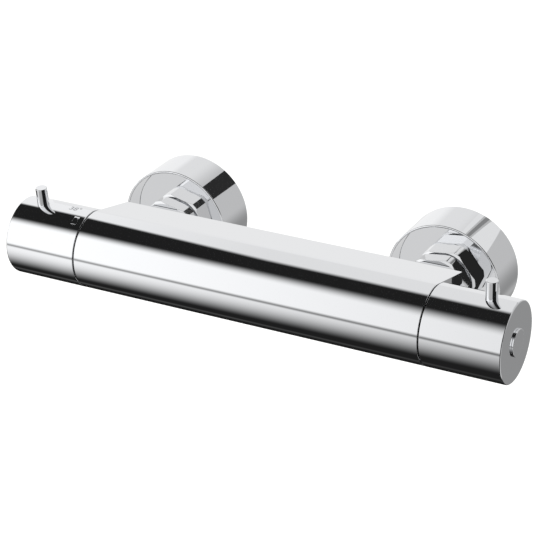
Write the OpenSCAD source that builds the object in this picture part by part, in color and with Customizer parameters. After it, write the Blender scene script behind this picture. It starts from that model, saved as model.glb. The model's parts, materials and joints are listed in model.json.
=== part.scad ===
// Thermostatic shower valve: a chromed bar with a temperature handle on the left, a flow handle
// on the right and two wall connections behind it.
// X runs along the bar to the right, Y runs towards the wall and Z is up. The wall's surface is
// the plane Y = 0, and the origin lies midway between the two wall threads.
// Inner pieces are placed in the frame of the end, the inlet or the outlet that carries them.

/* [Bar] */
// Radius of the round bar and of both handles
bar_radius = 20; // [19.5:0.1:21]
// Distance from the wall to the bar's axis
wall_to_axis = 66; // [65:0.5:74]
// Distance between the two wall threads
inlet_spacing = 150; // [148:0.5:152]
// Length of the body to the left of the middle
body_left = 97.3; // [96.5:0.1:102]
// Length of the body to the right of the middle
body_right = 89; // [86:0.5:96]
// Distance from the bar's axis to the flat back of the body
back_reach = 33; // [32:0.25:34]
// Half of the height of the flat back
back_half_height = 13; // [12:0.25:14]
// Radius of the long edges of the back
back_edge_radius = 1.5; // [0.5:0.25:2.5]

/* [Handles] */
// Length of a handle
handle_length = 40; // [37:0.5:46]
// Gap between a handle and the body
handle_gap = 0.5; // [0.3:0.1:0.8]
// Wall of a handle
handle_wall = 2; // [1.5:0.1:2.1]
// Thickness of a handle's end wall
handle_end_wall = 3; // [2:0.25:4]
// Rounding of a handle's outer edge
handle_edge = 0.7; // [0.3:0.1:1]
// Radius of a lever pin
lever_radius = 3; // [2.5:0.25:3.5]
// Height of a lever pin above the handle
lever_height = 9.5; // [7:0.5:16]
// Distance from a handle's outer end to its lever pin
lever_inset = 12.5; // [11:0.5:15]
// Radius of the cap in a handle's end
cap_radius = 6.75; // [6:0.25:8]
// Height of the cap above a handle's end
cap_height = 1; // [0.6:0.1:2]
// Forward lean of the temperature lever at 38 degrees, in degrees
temperature_lean = 6; // [0:1:12]
// Forward lean of the closed flow lever, in degrees
flow_lean = 2; // [0:1:12]

/* [Safety button] */
// Size of the button along the bar
button_width = 3; // [2.5:0.25:3.5]
// Size of the button around the bar
button_length = 5; // [4:0.25:5.5]
// Angle of the button forward of the top, in degrees
button_forward = 25; // [20:1:30]
// Travel of the button
button_travel = 1.2; // [0.8:0.1:1.3]

/* [Wall covers] */
// Outer radius of a wall cover
cover_radius = 29.5; // [27:0.5:34]
// Depth of a wall cover
cover_depth = 24; // [20:0.5:26]
// Wall of a wall cover
cover_wall = 1.2; // [1:0.1:2]
// Distance from the wall to the front of the cover's inner web
cover_web_depth = 12.5; // [11:0.25:14]
// Thickness of the cover's inner web
cover_web = 1.5; // [1:0.1:2]

/* [Wall connections] */
// Width across the flats of both hexagons
hex_flats = 30; // [29.5:0.25:32]
// Radius to which the corners of the hexagons are turned
hex_turned_radius = 16.4; // [16.1:0.05:16.6]
// Height of a union nut
union_nut_height = 7.3; // [7:0.1:8]
// Visible groove between a union nut and the hexagon behind it
union_groove = 2.2; // [1.5:0.1:3]
// Outer radius of the G 1/2 wall thread
wall_thread_radius = 10.48; // [10.4:0.01:10.5]
// Depth of the wall thread into the wall
wall_thread_depth = 14; // [10:0.5:18]
// Radius of the waterway in a wall union
union_bore_radius = 7; // [6:0.25:7.5]

/* [Outlet] */
// Outer radius of the G 1/2 hose thread
outlet_thread_radius = 10.48; // [10.4:0.01:10.5]
// Length of the hose thread
outlet_thread_length = 8.5; // [8:0.25:12]
// Radius of the waterway in the outlet
outlet_bore_radius = 5; // [4:0.25:5.5]

/* [Thermostatic cartridge] */
// Radius of the cartridge's bore in the body
cartridge_bore_radius = 14.5; // [14.4:0.05:14.7]
// Distance along the bar between the hot and the cold port
port_pitch = 17.7; // [17:0.1:19]
// Height of a window in the cage
window_height = 5; // [4.6:0.1:5.4]
// Opening of the hot seat at 38 degrees
hot_opening = 0.75; // [0.7:0.05:1]
// Opening of the cold seat at 38 degrees
cold_opening = 0.4; // [0.3:0.05:0.6]
// Radius of the wax capsule
capsule_radius = 5; // [4.5:0.1:5.2]

/* [Flow cartridge] */
// Radius of the flow cartridge's bore in the body
flow_bore_radius = 12.5; // [12.4:0.05:12.8]
// Depth of the flow cartridge's bore
flow_bore_depth = 50; // [49:0.5:54]
// Thickness of a ceramic disc
disc_thickness = 3; // [2.6:0.1:3.2]
// Sweep of each port in the ceramic discs, in degrees
disc_port_sweep = 76; // [60:1:80]

/* [Hidden] */
$fn = 72;
overrun = 1;
running_fit = 0.05;
seat_gap = 0.1;
seal_clearance = 0.01;
small_edge = 0.3;

// Frames of the two ends: Z points out of the bar, X points up
handle_end = handle_gap + handle_length;
bar_length = body_left + body_right;

// Tangent that joins the round bar to the edge of its back
back_edge_y = back_reach - back_edge_radius;
back_edge_z = back_half_height - back_edge_radius;
back_edge_distance = norm([back_edge_y, back_edge_z]);
back_slope = atan2(back_edge_y, back_edge_z) - acos((bar_radius - back_edge_radius) / back_edge_distance);

// Depths in the left end, from the body's end face inwards
cartridge_seat_depth = 13;
seat_to_port = 9.3;
hot_port_depth = cartridge_seat_depth + seat_to_port;
cold_port_depth = hot_port_depth + port_pitch;
hot_port_shift = inlet_spacing / 2 - (body_left - hot_port_depth);
hot_seat_depth = hot_port_depth - window_height / 2;
cold_seat_depth = cold_port_depth + window_height / 2;
partition_thickness = 2;
partition_top_depth = hot_seat_depth - partition_thickness;
cage_end_wall = 2.7;
cage_end_depth = cold_seat_depth + cage_end_wall;
base_height = 6.3;
base_end_depth = cage_end_depth + base_height;
cartridge_bore_depth = base_end_depth + 5 * seat_gap;
mouth_step = 2;
mouth_radius = cartridge_bore_radius + mouth_step;

// Wall connections, placed by their distance from the wall
body_back = wall_to_axis - back_reach;
nut_clearance = 0.2;
nut_front = body_back - nut_clearance;
nut_back = nut_front - union_nut_height;
nut_web = 1.5;
nut_thread_radius = 13.1;
tail_flange = 1.3;
tail_flange_radius = 12.4;
tail_radius = 9.6;
tail_wall = 2;
tail_bore_radius = tail_radius - tail_wall;
tail_from = nut_front - nut_web - seat_gap - tail_flange;
tail_length = 12.1;
tail_to = tail_from + tail_length;
tail_lip = 0.5;
tail_lip_radius = 6.2;
gasket_thickness = 1.5;
gasket_edge = 0.6;
union_end = tail_from - gasket_thickness;
union_hex_to = nut_back - union_groove;
union_washer = 0.5;
union_washer_radius = 14.6;
union_hex_from = cover_web_depth + union_washer;
union_neck_radius = 12;
wall_thread_chamfer = 1;
wall_thread_out = 2;
wall_shank_radius = 9.4;
wall_collar = 3.5;
union_thread_start = nut_back - union_washer;
hex_face_drop = 1.2;
hex_face_radius = hex_turned_radius - hex_face_drop;
hex_chamfer_angle = 30;
hex_chamfer = hex_face_drop * tan(hex_chamfer_angle);
left_hex_turn = 46;
right_hex_turn = 7.5;
tail_hole_depth = tail_to + nut_clearance - body_back;
inlet_pocket_radius = 7;
inlet_pocket_depth = 15;

// Waterways in the body; the gallery's plug lies in front of the tails' holes
port_radius = 3.2;
mixed_passage_radius = 8;
plug_radius = 4.2;
plug_length = 6;
plug_recess = 0.6;
plug_socket_flats = 4;
plug_socket_depth = 3;
gallery_wall = 0.8;
gallery_back = wall_to_axis - body_back - tail_hole_depth - plug_radius - gallery_wall;
gallery_rise = 4;

// Strainers and check valves inside the tails
strainer_thickness = 0.8;
strainer_hole_radius = 0.55;
strainer_pitch = 2.1;
strainer_rings = 3;
check_radius = tail_bore_radius - 2 * running_fit;
check_wall = 0.9;
check_from = tail_from + seat_gap + strainer_thickness + 2 * seat_gap;
check_to = tail_to - tail_lip - seat_gap;
check_seat_radius = 5;
check_seat_height = 2;
check_spider = 1.5;
check_hub_radius = 3;
check_arm_width = 1.8;
check_arms = 3;
poppet_radius = 5.9;
poppet_head = 1.5;
poppet_stem_radius = 1.5;
poppet_clearance = 0.02;
check_spring_radius = 3.5;
check_spring_wire = 0.2;
check_spring_turns = 4;

// Outlet, placed below the flow cartridge's chamber
outlet_from_right_end = 44;
outlet_x = body_right - outlet_from_right_end;
outlet_from_back = 12.5;
outlet_back = back_reach - outlet_from_back;
outlet_boss_radius = 12.4;
outlet_boss_front = outlet_back - outlet_boss_radius;
outlet_boss_drop = bar_radius / cos(back_slope) - outlet_boss_front * tan(back_slope);
outlet_seal_thickness = 0.5;
outlet_seal_overlap = 0.9;
outlet_relief = 1;
outlet_spigot_radius = 8.45;
outlet_relief_radius = outlet_spigot_radius + outlet_seal_overlap + running_fit;
outlet_spigot_length = 7.5;
outlet_spigot_hole = outlet_spigot_length + 4 * seat_gap;
outlet_shaft_radius = 6.5;
outlet_shaft_top = 4;
outlet_link_radius = 5;
outlet_link_drop = 7;
outlet_key_flats = 12;
outlet_key_depth = 5;
outlet_chamfer = 0.8;
outlet_thread_top = outlet_boss_drop + outlet_seal_thickness;
outlet_end = outlet_thread_top + outlet_thread_length;

// Handles: bosses, hubs, screws and levers
handle_inner_radius = bar_radius - handle_wall;
hub_boss_radius = 9;
hub_boss_reach = 18.5;
hub_boss_from = handle_end - hub_boss_reach;
hub_radius = 6.95;
hub_inset = 6.5;
hub_to = handle_end - hub_inset;
hub_web = 3;
hub_spline_to = hub_to - hub_web;
cap_hole_radius = 5.5;
cap_stem = 3;
screw_radius = 1.5;
screw_head_radius = 3;
screw_head = 2.2;
screw_length = 14;
screw_socket_flats = 2.5;
screw_socket_depth = 1.3;
spline_teeth = 16;
spline_radius = 4.5;
spline_depth = 0.35;
spline_tip_share = 0.35;
spline_from = 12;
spline_gap = 1;
spline_to = hub_spline_to - spline_gap;
stem_under_spline_radius = spline_radius - spline_depth - running_fit;
lever_boss_radius = 5;
lever_root = 12;
lever_z = handle_end - lever_inset;
lever_edge = 0.4;

// Safety button, placed by its distance from the bar's axis
button_z = 5;
button_flange = 1.2;
button_flange_margin = 1;
button_flange_far = 12.5;
button_flange_near = 2.6;
button_flange_top = handle_inner_radius - seat_gap;
button_flange_under = button_flange_top - button_flange;
button_tooth = 1.3;
button_tooth_tip = button_flange_under - button_tooth;
bracket_gap = 0.6;
bracket_wall = 1.5;
bracket_from = 8.4;
bracket_to = 12.9;
button_clearance = 0.4;
safety_spring_pressed = 1.5;
bracket_floor_top = button_flange_under - button_travel - safety_spring_pressed;
bracket_floor = 1.4;
safety_spring_z = 10.65;
safety_spring_radius = 1.5;
safety_spring_wire = 0.15;
safety_spring_turns = 2.5;

// Stop ring on the nose of the cartridge head
nose_step = 0.6;
nose_top = 8;
nose_radius = 12;
nose_tip_radius = 10;
stop_ring_flange = 1;
stop_ring_flange_radius = 16.8;
stop_ring_radius = button_tooth_tip - button_travel - button_clearance;
stop_ring_to = 6.5;
stop_lug_radius = button_tooth_tip - button_clearance / 2;
stop_lug_sweep = 14;
stop_lug_gap = 2;
button_tooth_half_angle = atan2(button_length / 2, button_tooth_tip);

// Cartridge head, its spindle and the ring nut that holds it
head_flange = 2.5;
head_flange_radius = mouth_radius - 2 * seat_gap;
head_cavity_radius = 9.1;
head_cavity_height = 9.5;
head_cavity_top = cartridge_seat_depth - head_cavity_height;
spindle_radius = 5;
spindle_bore_radius = spindle_radius + running_fit;
spindle_groove_radius = 4.2;
spindle_groove_width = 1.4;
spindle_groove_z = 3;
spindle_flange = 1.9;
spindle_flange_radius = 9;
spindle_thread_radius = 4;
spindle_thread_length = 4.9;
key_width = 3;
key_radius = 10;
key_slot_radius = key_radius + seat_gap;
key_slot_reach = 6.5;
key_slot_top = cartridge_seat_depth - key_slot_reach;
ring_nut_height = 8;
ring_nut_bore_radius = nose_radius + 3 * seat_gap;
ring_nut_slots = 4;
ring_nut_slot_width = 4;
ring_nut_slot_depth = 2.5;
ring_nut_edge = 0.5;

// Cage and base of the thermostatic cartridge
cage_radius = cartridge_bore_radius - running_fit;
cage_bore_radius = 11;
cage_channel_radius = 12.8;
cage_channel_margin = 1;
cage_channel = window_height + 2 * cage_channel_margin;
cage_windows = 4;
cage_window_sweep = 58;
seal_groove_radius = 12.6;
seal_groove_width = 2.2;
upper_seal_to_port = 5.8;
upper_seal_depth = hot_port_depth - upper_seal_to_port;
middle_seal_depth = (hot_port_depth + cold_port_depth) / 2;
lower_seal_depth = cage_end_depth + base_height / 2;
base_floor = 1.5;
base_outlet_radius = 5.8;
base_channel_radius = 8.5;
piston_radius = 2;
piston_bore_radius = piston_radius + running_fit;

// Pieces that the spindle shifts along the cartridge
pressure_nut_radius = 7.5;
pressure_nut_bore_radius = 6.4;
pressure_nut_reach = 5.6;
pressure_nut_top = cartridge_seat_depth - pressure_nut_reach;
pressure_nut_collar = 3.2;
pressure_nut_gap = 0.6;
pressure_nut_end = partition_top_depth - pressure_nut_gap;
pressure_nut_lip = 0.5;
pressure_nut_lip_radius = 4.4;
key_inset = 0.6;
key_from = pressure_nut_top + key_inset;
key_seat_gap = 1;
key_to = cartridge_seat_depth - key_seat_gap;
overload_cup_radius = 6.1;
overload_cup_flange = 1.4;
overload_cup_end = pressure_nut_end;
overload_cup_stub_radius = 4.2;
overload_cup_flange_end = pressure_nut_end - pressure_nut_lip - seat_gap;
overload_cup_top = overload_cup_flange_end - overload_cup_flange;
overload_socket_depth = 1.3;
overload_spring_radius = 5.2;
overload_spring_wire = 0.4;
overload_spring_turns = 2.5;
piston_top = overload_cup_end - overload_socket_depth + seat_gap;
spool_top = hot_seat_depth + hot_opening;
spool_end = cold_seat_depth - cold_opening;
spool_radius = cage_bore_radius - running_fit;
spool_wall = 1.5;
spool_groove_radius = 10.05;
spool_groove_width = 1.2;
port_to_spider = 9.7;
spider_top = hot_port_depth + port_to_spider;
spider_height = 3;
spider_arms = 3;
spider_arm_width = 3;
spider_hub_wall = 1.3;
capsule_length = 13;
capsule_end = spider_top + capsule_length;
capsule_flange = 1.2;
capsule_flange_step = 1.2;
capsule_flange_radius = capsule_radius + capsule_flange_step;
capsule_neck = 1;
guide_radius = 3.2;
guide_length = 6.7;
return_spring_radius = 7.3;
return_spring_wire = 0.35;
return_spring_turns = 5;

// Flow cartridge, placed by depths in the right end
housing_radius = flow_bore_radius - running_fit;
housing_end_gap = 0.5;
housing_end_depth = flow_bore_depth - housing_end_gap;
housing_bore_radius = 10.6;
seat_seal_height = 1.5;
seat_seal_width = 3;
fixed_disc_end = flow_bore_depth - seat_seal_height;
disc_joint = fixed_disc_end - disc_thickness;
moving_disc_top = disc_joint - disc_thickness;
fixed_disc_radius = 10.5;
moving_disc_radius = 10;
disc_port_inner = 2.4;
disc_port_outer = 8.2;
disc_key_width = 2;
disc_key_radius = 9.6;
disc_key_gap = 0.1;
drive_flange = 1.5;
drive_flange_radius = 9;
drive_pin_radius = 0.9;
drive_pin_length = 1.5;
drive_pin_inset = 1.3;
drive_pin_place = drive_flange_radius - drive_pin_inset;
drive_flange_top = moving_disc_top - seat_gap - drive_flange;
collar_radius = 7;
flow_cavity_room = 4.9;
flow_cavity_top = drive_flange_top - flow_cavity_room;
flow_windows = 3;
flow_window_sweep = 80;
flow_window_height = 4.2;
flow_window_end = drive_flange_top - 2 * seat_gap;
chamber_radius = 14.5;
chamber_from = flow_cavity_top - 3 * seat_gap;
chamber_floor = 2;
chamber_to = flow_bore_depth - chamber_floor;
housing_seal_depth = 30;
housing_groove_radius = 10.7;
housing_hex_flats = 26;
housing_hex_height = 5;
housing_nose_radius = 8;
housing_nose_top = 12;
flow_ring_height = 2;
flow_ring_radius = 13.8;
flow_ring_wall_radius = 11.4;
flow_ring_wall_height = 3.4;
flow_ring_from = housing_hex_height + seat_gap;
flow_ring_wall_from = flow_ring_from + flow_ring_height;
flow_finger_width = 3;
flow_finger_outer = 13.2;
flow_finger_inner = 11.8;
flow_finger_gap = 0.8;
flow_finger_from = flow_ring_wall_from + flow_finger_gap;
flow_hub_from = housing_nose_top + small_edge;
flow_hub_arm = 1.7;
flow_turn = 90;
flow_finger_half_angle = atan2(flow_finger_width / 2, flow_finger_inner);
flow_stop_gap = 1.5;

// Springs are tubes along a helix
wire_sides = 6;
rings_per_turn = 8;

// Frames

module at_left_end() {
    translate([-body_left, -wall_to_axis, 0]) rotate([0, -90, 0]) children();
}

module at_right_end() {
    translate([body_right, -wall_to_axis, 0]) rotate([0, 90, 0]) rotate([0, 0, 180]) children();
}

// An inlet's Z is the distance from the wall; side is -1 for left and 1 for right
module at_inlet(side) {
    translate([side * inlet_spacing / 2, 0, 0]) rotate([90, 0, 0]) children();
}

// The outlet's Z points up, level with the bar's axis at zero
module at_outlet() {
    translate([outlet_x, outlet_back - wall_to_axis, 0]) children();
}

// Turns Z into the radial direction, at a height along the end's axis and an angle from the top
module radially(angle, height) {
    rotate([0, 0, angle]) translate([0, 0, height]) rotate([0, 90, 0]) children();
}

// Shapes that repeat

module rod(radius, from, to) {
    translate([0, 0, from]) cylinder(r = radius, h = to - from);
}

module ring(outer, inner, from, to) {
    difference() {
        rod(outer, from, to);
        rod(inner, from - overrun, to + overrun);
    }
}

// A part of a ring that starts at the X axis
module sector(outer, inner, sweep, from, to) {
    translate([0, 0, from]) rotate_extrude(angle = sweep)
        translate([inner, 0]) square([outer - inner, to - from]);
}

module around(count) {
    for (i = [0 : count - 1]) rotate([0, 0, 360 * i / count]) children();
}

// A disc whose upper edge is rounded
module eased_disc(radius, from, to, edge) {
    translate([0, 0, from]) rotate_extrude() union() {
        square([radius, to - from - edge]);
        square([radius - edge, to - from]);
        translate([radius - edge, to - from - edge]) circle(r = edge);
    }
}

module hex_prism(flats, from, to) {
    translate([0, 0, from]) cylinder(r = flats / 2 / cos(30), h = to - from, $fn = 6);
}

// A hexagon whose corners are turned round and whose ends are chamfered
module turned_hex(from, to) {
    intersection() {
        hex_prism(hex_flats, from, to);
        rotate_extrude() polygon([
            [0, from],
            [hex_face_radius, from],
            [hex_turned_radius, from + hex_chamfer],
            [hex_turned_radius, to - hex_chamfer],
            [hex_face_radius, to],
            [0, to]
        ]);
    }
}

// An O-ring between the floor of its groove and the bore round it
module seal_ring(groove_radius, bore_radius, at) {
    translate([0, 0, at]) rotate_extrude() translate([(groove_radius + bore_radius) / 2, 0])
        circle(r = (bore_radius - groove_radius) / 2 - seal_clearance);
}

module seal_groove(groove_radius, outer, width, at) {
    ring(outer, groove_radius, at - width / 2, at + width / 2);
}

module spindle_groove() {
    seal_groove(spindle_groove_radius, spindle_radius + overrun, spindle_groove_width, spindle_groove_z);
}

// A spline's outline; grown is the clearance by which a hub is larger
module spline_outline(grown) {
    tip = spline_radius + grown;
    root = tip - spline_depth;
    step = 360 / spline_teeth;
    half_tip = step * spline_tip_share / 2;
    half_root = step / 2 - half_tip / 2;
    polygon([for (i = [0 : spline_teeth - 1], corner = [0 : 3])
        let (
            offset_angle = [-half_root, -half_tip, half_tip, half_root][corner],
            reach = (corner == 0 || corner == 3) ? root : tip,
            angle = i * step + offset_angle
        )
        [reach * cos(angle), reach * sin(angle)]
    ]);
}

module spline(grown, from, to) {
    translate([0, 0, from]) linear_extrude(height = to - from) spline_outline(grown);
}

// A spring of round wire that reaches from one seat to the other
module coil_spring(mean_radius, wire_radius, turns, from, to) {
    rings = round(turns * rings_per_turn);
    rise = to - from - 2 * wire_radius;
    slope = atan2(rise, 2 * PI * mean_radius * turns);
    points = [for (i = [0 : rings], k = [0 : wire_sides - 1])
        let (
            turn = 360 * turns * i / rings,
            round_wire = 360 * k / wire_sides,
            reach = mean_radius + wire_radius * cos(round_wire),
            lift = wire_radius * sin(round_wire)
        )
        [
            reach * cos(turn) + lift * sin(turn) * sin(slope),
            reach * sin(turn) - lift * cos(turn) * sin(slope),
            from + wire_radius + rise * i / rings + lift * cos(slope)
        ]
    ];
    sides = [for (i = [0 : rings - 1], k = [0 : wire_sides - 1], half = [0 : 1])
        let (
            near = i * wire_sides + k,
            near_next = i * wire_sides + (k + 1) % wire_sides,
            far = near + wire_sides,
            far_next = near_next + wire_sides
        )
        half == 0 ? [near, near_next, far_next] : [near, far_next, far]
    ];
    start_cap = [[for (k = [wire_sides - 1 : -1 : 0]) k]];
    end_cap = [[for (k = [0 : wire_sides - 1]) rings * wire_sides + k]];
    polyhedron(points = points, faces = concat(start_cap, sides, end_cap));
}

// Body

// Outline of the bar, seen from its right: round in front, tapering to a flat back
module bar_outline() {
    normal_y = sin(back_slope);
    normal_z = cos(back_slope);
    tangent_y = bar_radius * normal_y;
    tangent_z = bar_radius * normal_z;
    edge_y = back_edge_y + back_edge_radius * normal_y;
    edge_z = back_edge_z + back_edge_radius * normal_z;
    union() {
        circle(r = bar_radius);
        for (side = [-1, 1]) translate([back_edge_y, side * back_edge_z]) circle(r = back_edge_radius);
        polygon([
            [tangent_y, tangent_z],
            [edge_y, edge_z],
            [back_reach, back_edge_z],
            [back_reach, -back_edge_z],
            [edge_y, -edge_z],
            [tangent_y, -tangent_z]
        ]);
    }
}

module left_bores() {
    passage_end = bar_length - flow_bore_depth + overrun;
    rod(mouth_radius, -cartridge_seat_depth, overrun);
    rod(cartridge_bore_radius, -cartridge_bore_depth, overrun);
    rod(mixed_passage_radius, -passage_end, -cartridge_bore_depth + overrun);
    translate([gallery_rise, 0, -cold_port_depth]) rotate([-90, 0, 0])
        rod(port_radius, cage_channel_radius, gallery_back);
}

module right_bores() {
    rod(flow_bore_radius, -flow_bore_depth, overrun);
    rod(chamber_radius, -chamber_to, -chamber_from);
    translate([gallery_rise, -gallery_back, 0]) {
        rod(port_radius, -(bar_length - cold_port_depth), overrun);
        rod(plug_radius + running_fit, -(plug_recess + plug_length + seat_gap), overrun);
    }
}

module inlet_bores(side) {
    at_inlet(side) {
        rod(tail_radius + running_fit, body_back - overrun, body_back + tail_hole_depth);
        rod(inlet_pocket_radius, body_back, body_back + inlet_pocket_depth);
    }
}

module outlet_bores() {
    rod(outlet_spigot_radius + running_fit, -outlet_boss_drop - overrun,
        outlet_spigot_hole - outlet_boss_drop);
    rod(outlet_shaft_radius, -outlet_boss_drop, -outlet_shaft_top);
    translate([0, 0, -outlet_link_drop]) rotate([90, 0, 0])
        rod(outlet_link_radius, 0, outlet_back - flow_bore_radius + port_radius);
}

module valve_body() {
    color("gainsboro") difference() {
        union() {
            translate([-body_left, -wall_to_axis, 0]) rotate([90, 0, 90])
                linear_extrude(height = bar_length) bar_outline();
            at_outlet() rod(outlet_boss_radius, -outlet_boss_drop, -outlet_shaft_top);
        }
        at_left_end() left_bores();
        at_right_end() right_bores();
        inlet_bores(-1);
        inlet_bores(1);
        at_inlet(-1) translate([hot_port_shift, 0, 0])
            rod(port_radius, body_back + inlet_pocket_depth - overrun, wall_to_axis - cage_channel_radius);
        at_outlet() outlet_bores();
    }
}

module gallery_plug() {
    color("gainsboro") at_right_end() translate([gallery_rise, -gallery_back, 0]) difference() {
        rod(plug_radius, -(plug_recess + plug_length), -plug_recess);
        hex_prism(plug_socket_flats, -(plug_recess + plug_socket_depth), overrun);
    }
}

// Handles

module handle_shell() {
    difference() {
        eased_disc(bar_radius, handle_gap, handle_end, handle_edge);
        rod(handle_inner_radius, handle_gap - overrun, handle_end - handle_end_wall);
    }
}

module handle_casting(lever_angle) {
    difference() {
        union() {
            handle_shell();
            rod(hub_boss_radius, hub_boss_from, handle_end - handle_end_wall / 2);
            radially(lever_angle, lever_z)
                rod(lever_boss_radius, hub_radius + overrun, handle_inner_radius + handle_wall / 2);
        }
        rod(hub_radius + running_fit, hub_boss_from - overrun, hub_to);
        rod(cap_hole_radius, hub_boss_from, handle_end + overrun);
        radially(lever_angle, lever_z) rod(lever_radius + running_fit, lever_root, bar_radius + overrun);
    }
}

module lever_pin(lever_angle) {
    tip = bar_radius + lever_height;
    radially(lever_angle, lever_z) rotate_extrude() polygon([
        [0, lever_root + seat_gap],
        [lever_radius, lever_root + seat_gap],
        [lever_radius, tip - lever_edge],
        [lever_radius - lever_edge, tip],
        [0, tip]
    ]);
}

module handle_cap() {
    eased_disc(cap_radius, handle_end, handle_end + cap_height, small_edge);
    rod(cap_hole_radius - running_fit, handle_end - cap_stem, handle_end + small_edge);
}

module handle_screw() {
    head_top = hub_to + screw_head;
    difference() {
        union() {
            rod(screw_head_radius, hub_to, head_top);
            rod(screw_radius, hub_to - screw_length, hub_to + small_edge);
        }
        hex_prism(screw_socket_flats, head_top - screw_socket_depth, head_top + overrun);
    }
}

module splined_hub(from) {
    difference() {
        rod(hub_radius, from, hub_to);
        spline(running_fit, from - overrun, hub_spline_to);
        rod(screw_radius + running_fit, hub_spline_to - overrun, hub_to + overrun);
    }
}

// The splined end of a spindle, with the hole for its handle's screw
module splined_end(neck_top) {
    difference() {
        union() {
            spline(0, spline_from, spline_to);
            rod(stem_under_spline_radius, neck_top - overrun, spline_to);
        }
        rod(screw_radius + running_fit, hub_to - screw_length - overrun, spline_to + overrun);
    }
}

// Temperature handle

// Carries the safety button's spring inside the handle
module button_bracket() {
    half = button_length / 2 + button_flange_margin + bracket_gap;
    outer_half = half + bracket_wall;
    depth = handle_inner_radius + handle_wall / 2 - (bracket_floor_top - bracket_floor);
    radially(-button_forward, 0) difference() {
        translate([-bracket_to, -outer_half, bracket_floor_top - bracket_floor])
            cube([bracket_to - bracket_from, 2 * outer_half, depth]);
        translate([-bracket_to - overrun, -half, bracket_floor_top])
            cube([bracket_to - bracket_from + 2 * overrun, 2 * half, depth]);
    }
}

module temperature_knob() {
    slot_width = button_width + 2 * running_fit;
    slot_length = button_length + 2 * running_fit;
    color("gainsboro") at_left_end() difference() {
        union() {
            handle_casting(-temperature_lean);
            intersection() {
                button_bracket();
                rod(handle_inner_radius + handle_wall / 2, handle_gap, handle_end);
            }
        }
        radially(-button_forward, button_z)
            translate([-slot_width / 2, -slot_length / 2, button_flange_under])
            cube([slot_width, slot_length, bar_radius]);
    }
}

module temperature_hub() {
    color("dimgray") at_left_end() splined_hub(hub_boss_from);
}

module temperature_cap() {
    color("gainsboro") at_left_end() handle_cap();
}

module temperature_screw() {
    color("silver") at_left_end() handle_screw();
}

module temperature_lever() {
    color("gainsboro") at_left_end() lever_pin(-temperature_lean);
}

module safety_button() {
    half_flange = button_length / 2 + button_flange_margin;
    color("gainsboro") at_left_end() {
        intersection() {
            radially(-button_forward, button_z)
                translate([-button_width / 2, -button_length / 2, button_tooth_tip])
                cube([button_width, button_length, bar_radius]);
            rod(bar_radius, 0, handle_end);
        }
        intersection() {
            radially(-button_forward, 0) translate([-button_flange_far, -half_flange, button_flange_under])
                cube([button_flange_far - button_flange_near, 2 * half_flange, bar_radius]);
            rod(button_flange_top, 0, handle_end);
        }
    }
}

module safety_spring() {
    color("silver") at_left_end() radially(-button_forward, safety_spring_z)
        coil_spring(safety_spring_radius, safety_spring_wire, safety_spring_turns,
            bracket_floor_top, button_flange_under);
}

// Stays on the cartridge head, so that its lug marks 38 degrees for the button's tooth
module stop_ring() {
    lug_from = -button_forward + button_tooth_half_angle + stop_lug_gap;
    color("white") at_left_end() {
        ring(stop_ring_flange_radius, nose_tip_radius + running_fit, nose_step, nose_step + stop_ring_flange);
        ring(stop_ring_radius, nose_tip_radius + running_fit, nose_step, stop_ring_to);
        rotate([0, 0, lug_from])
            sector(stop_lug_radius, stop_ring_radius - overrun, stop_lug_sweep, nose_step, stop_ring_to);
    }
}

// Thermostatic cartridge

module adjusting_spindle() {
    flange_top = head_cavity_top + seat_gap;
    flange_end = flange_top + spindle_flange;
    color("goldenrod") at_left_end() {
        splined_end(nose_top);
        difference() {
            union() {
                rod(spindle_radius, -flange_end, nose_top);
                rod(spindle_flange_radius, -flange_end, -flange_top);
                rod(spindle_thread_radius, -flange_end - spindle_thread_length, -flange_top);
            }
            spindle_groove();
        }
    }
}

module spindle_seal() {
    color("black") at_left_end() seal_ring(spindle_groove_radius, spindle_bore_radius, spindle_groove_z);
}

module cartridge_head() {
    slot_width = key_width + 2 * running_fit;
    color("goldenrod") at_left_end() difference() {
        union() {
            rod(head_flange_radius, -cartridge_seat_depth, head_flange - cartridge_seat_depth);
            rod(nose_radius, -cartridge_seat_depth, nose_step);
            rod(nose_tip_radius, -cartridge_seat_depth, nose_top);
        }
        rod(spindle_bore_radius, -cartridge_seat_depth, nose_top + overrun);
        rod(head_cavity_radius, -cartridge_seat_depth - overrun, -head_cavity_top);
        translate([-key_slot_radius, -slot_width / 2, -cartridge_seat_depth - overrun])
            cube([2 * key_slot_radius, slot_width, cartridge_seat_depth + overrun - key_slot_top]);
    }
}

module retaining_nut() {
    from = head_flange + seat_gap - cartridge_seat_depth;
    to = from + ring_nut_height;
    color("goldenrod") at_left_end() difference() {
        eased_disc(mouth_radius - running_fit, from, to, ring_nut_edge);
        rod(ring_nut_bore_radius, from - overrun, to + overrun);
        around(ring_nut_slots) translate([nose_radius, -ring_nut_slot_width / 2, to - ring_nut_slot_depth])
            cube([mouth_radius, ring_nut_slot_width, ring_nut_slot_depth + overrun]);
    }
}

module window_row(count, sweep, outer, inner, at) {
    around(count) sector(outer, inner, sweep, at - window_height / 2, at + window_height / 2);
}

module cartridge_cage() {
    from = cartridge_seat_depth + seat_gap;
    color("white") at_left_end() difference() {
        rod(cage_radius, -cage_end_depth, -from);
        rod(cage_bore_radius, -partition_top_depth, overrun - from);
        rod(cage_bore_radius, -cage_end_depth - overrun, -hot_seat_depth);
        rod(piston_bore_radius, -hot_seat_depth - overrun, overrun - partition_top_depth);
        for (depth = [hot_port_depth, cold_port_depth]) {
            seal_groove(cage_channel_radius, cage_radius + overrun, cage_channel, -depth);
            window_row(cage_windows, cage_window_sweep, cage_radius, cage_bore_radius - overrun, -depth);
        }
        for (depth = [upper_seal_depth, middle_seal_depth])
            seal_groove(seal_groove_radius, cage_radius + overrun, seal_groove_width, -depth);
    }
}

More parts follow.
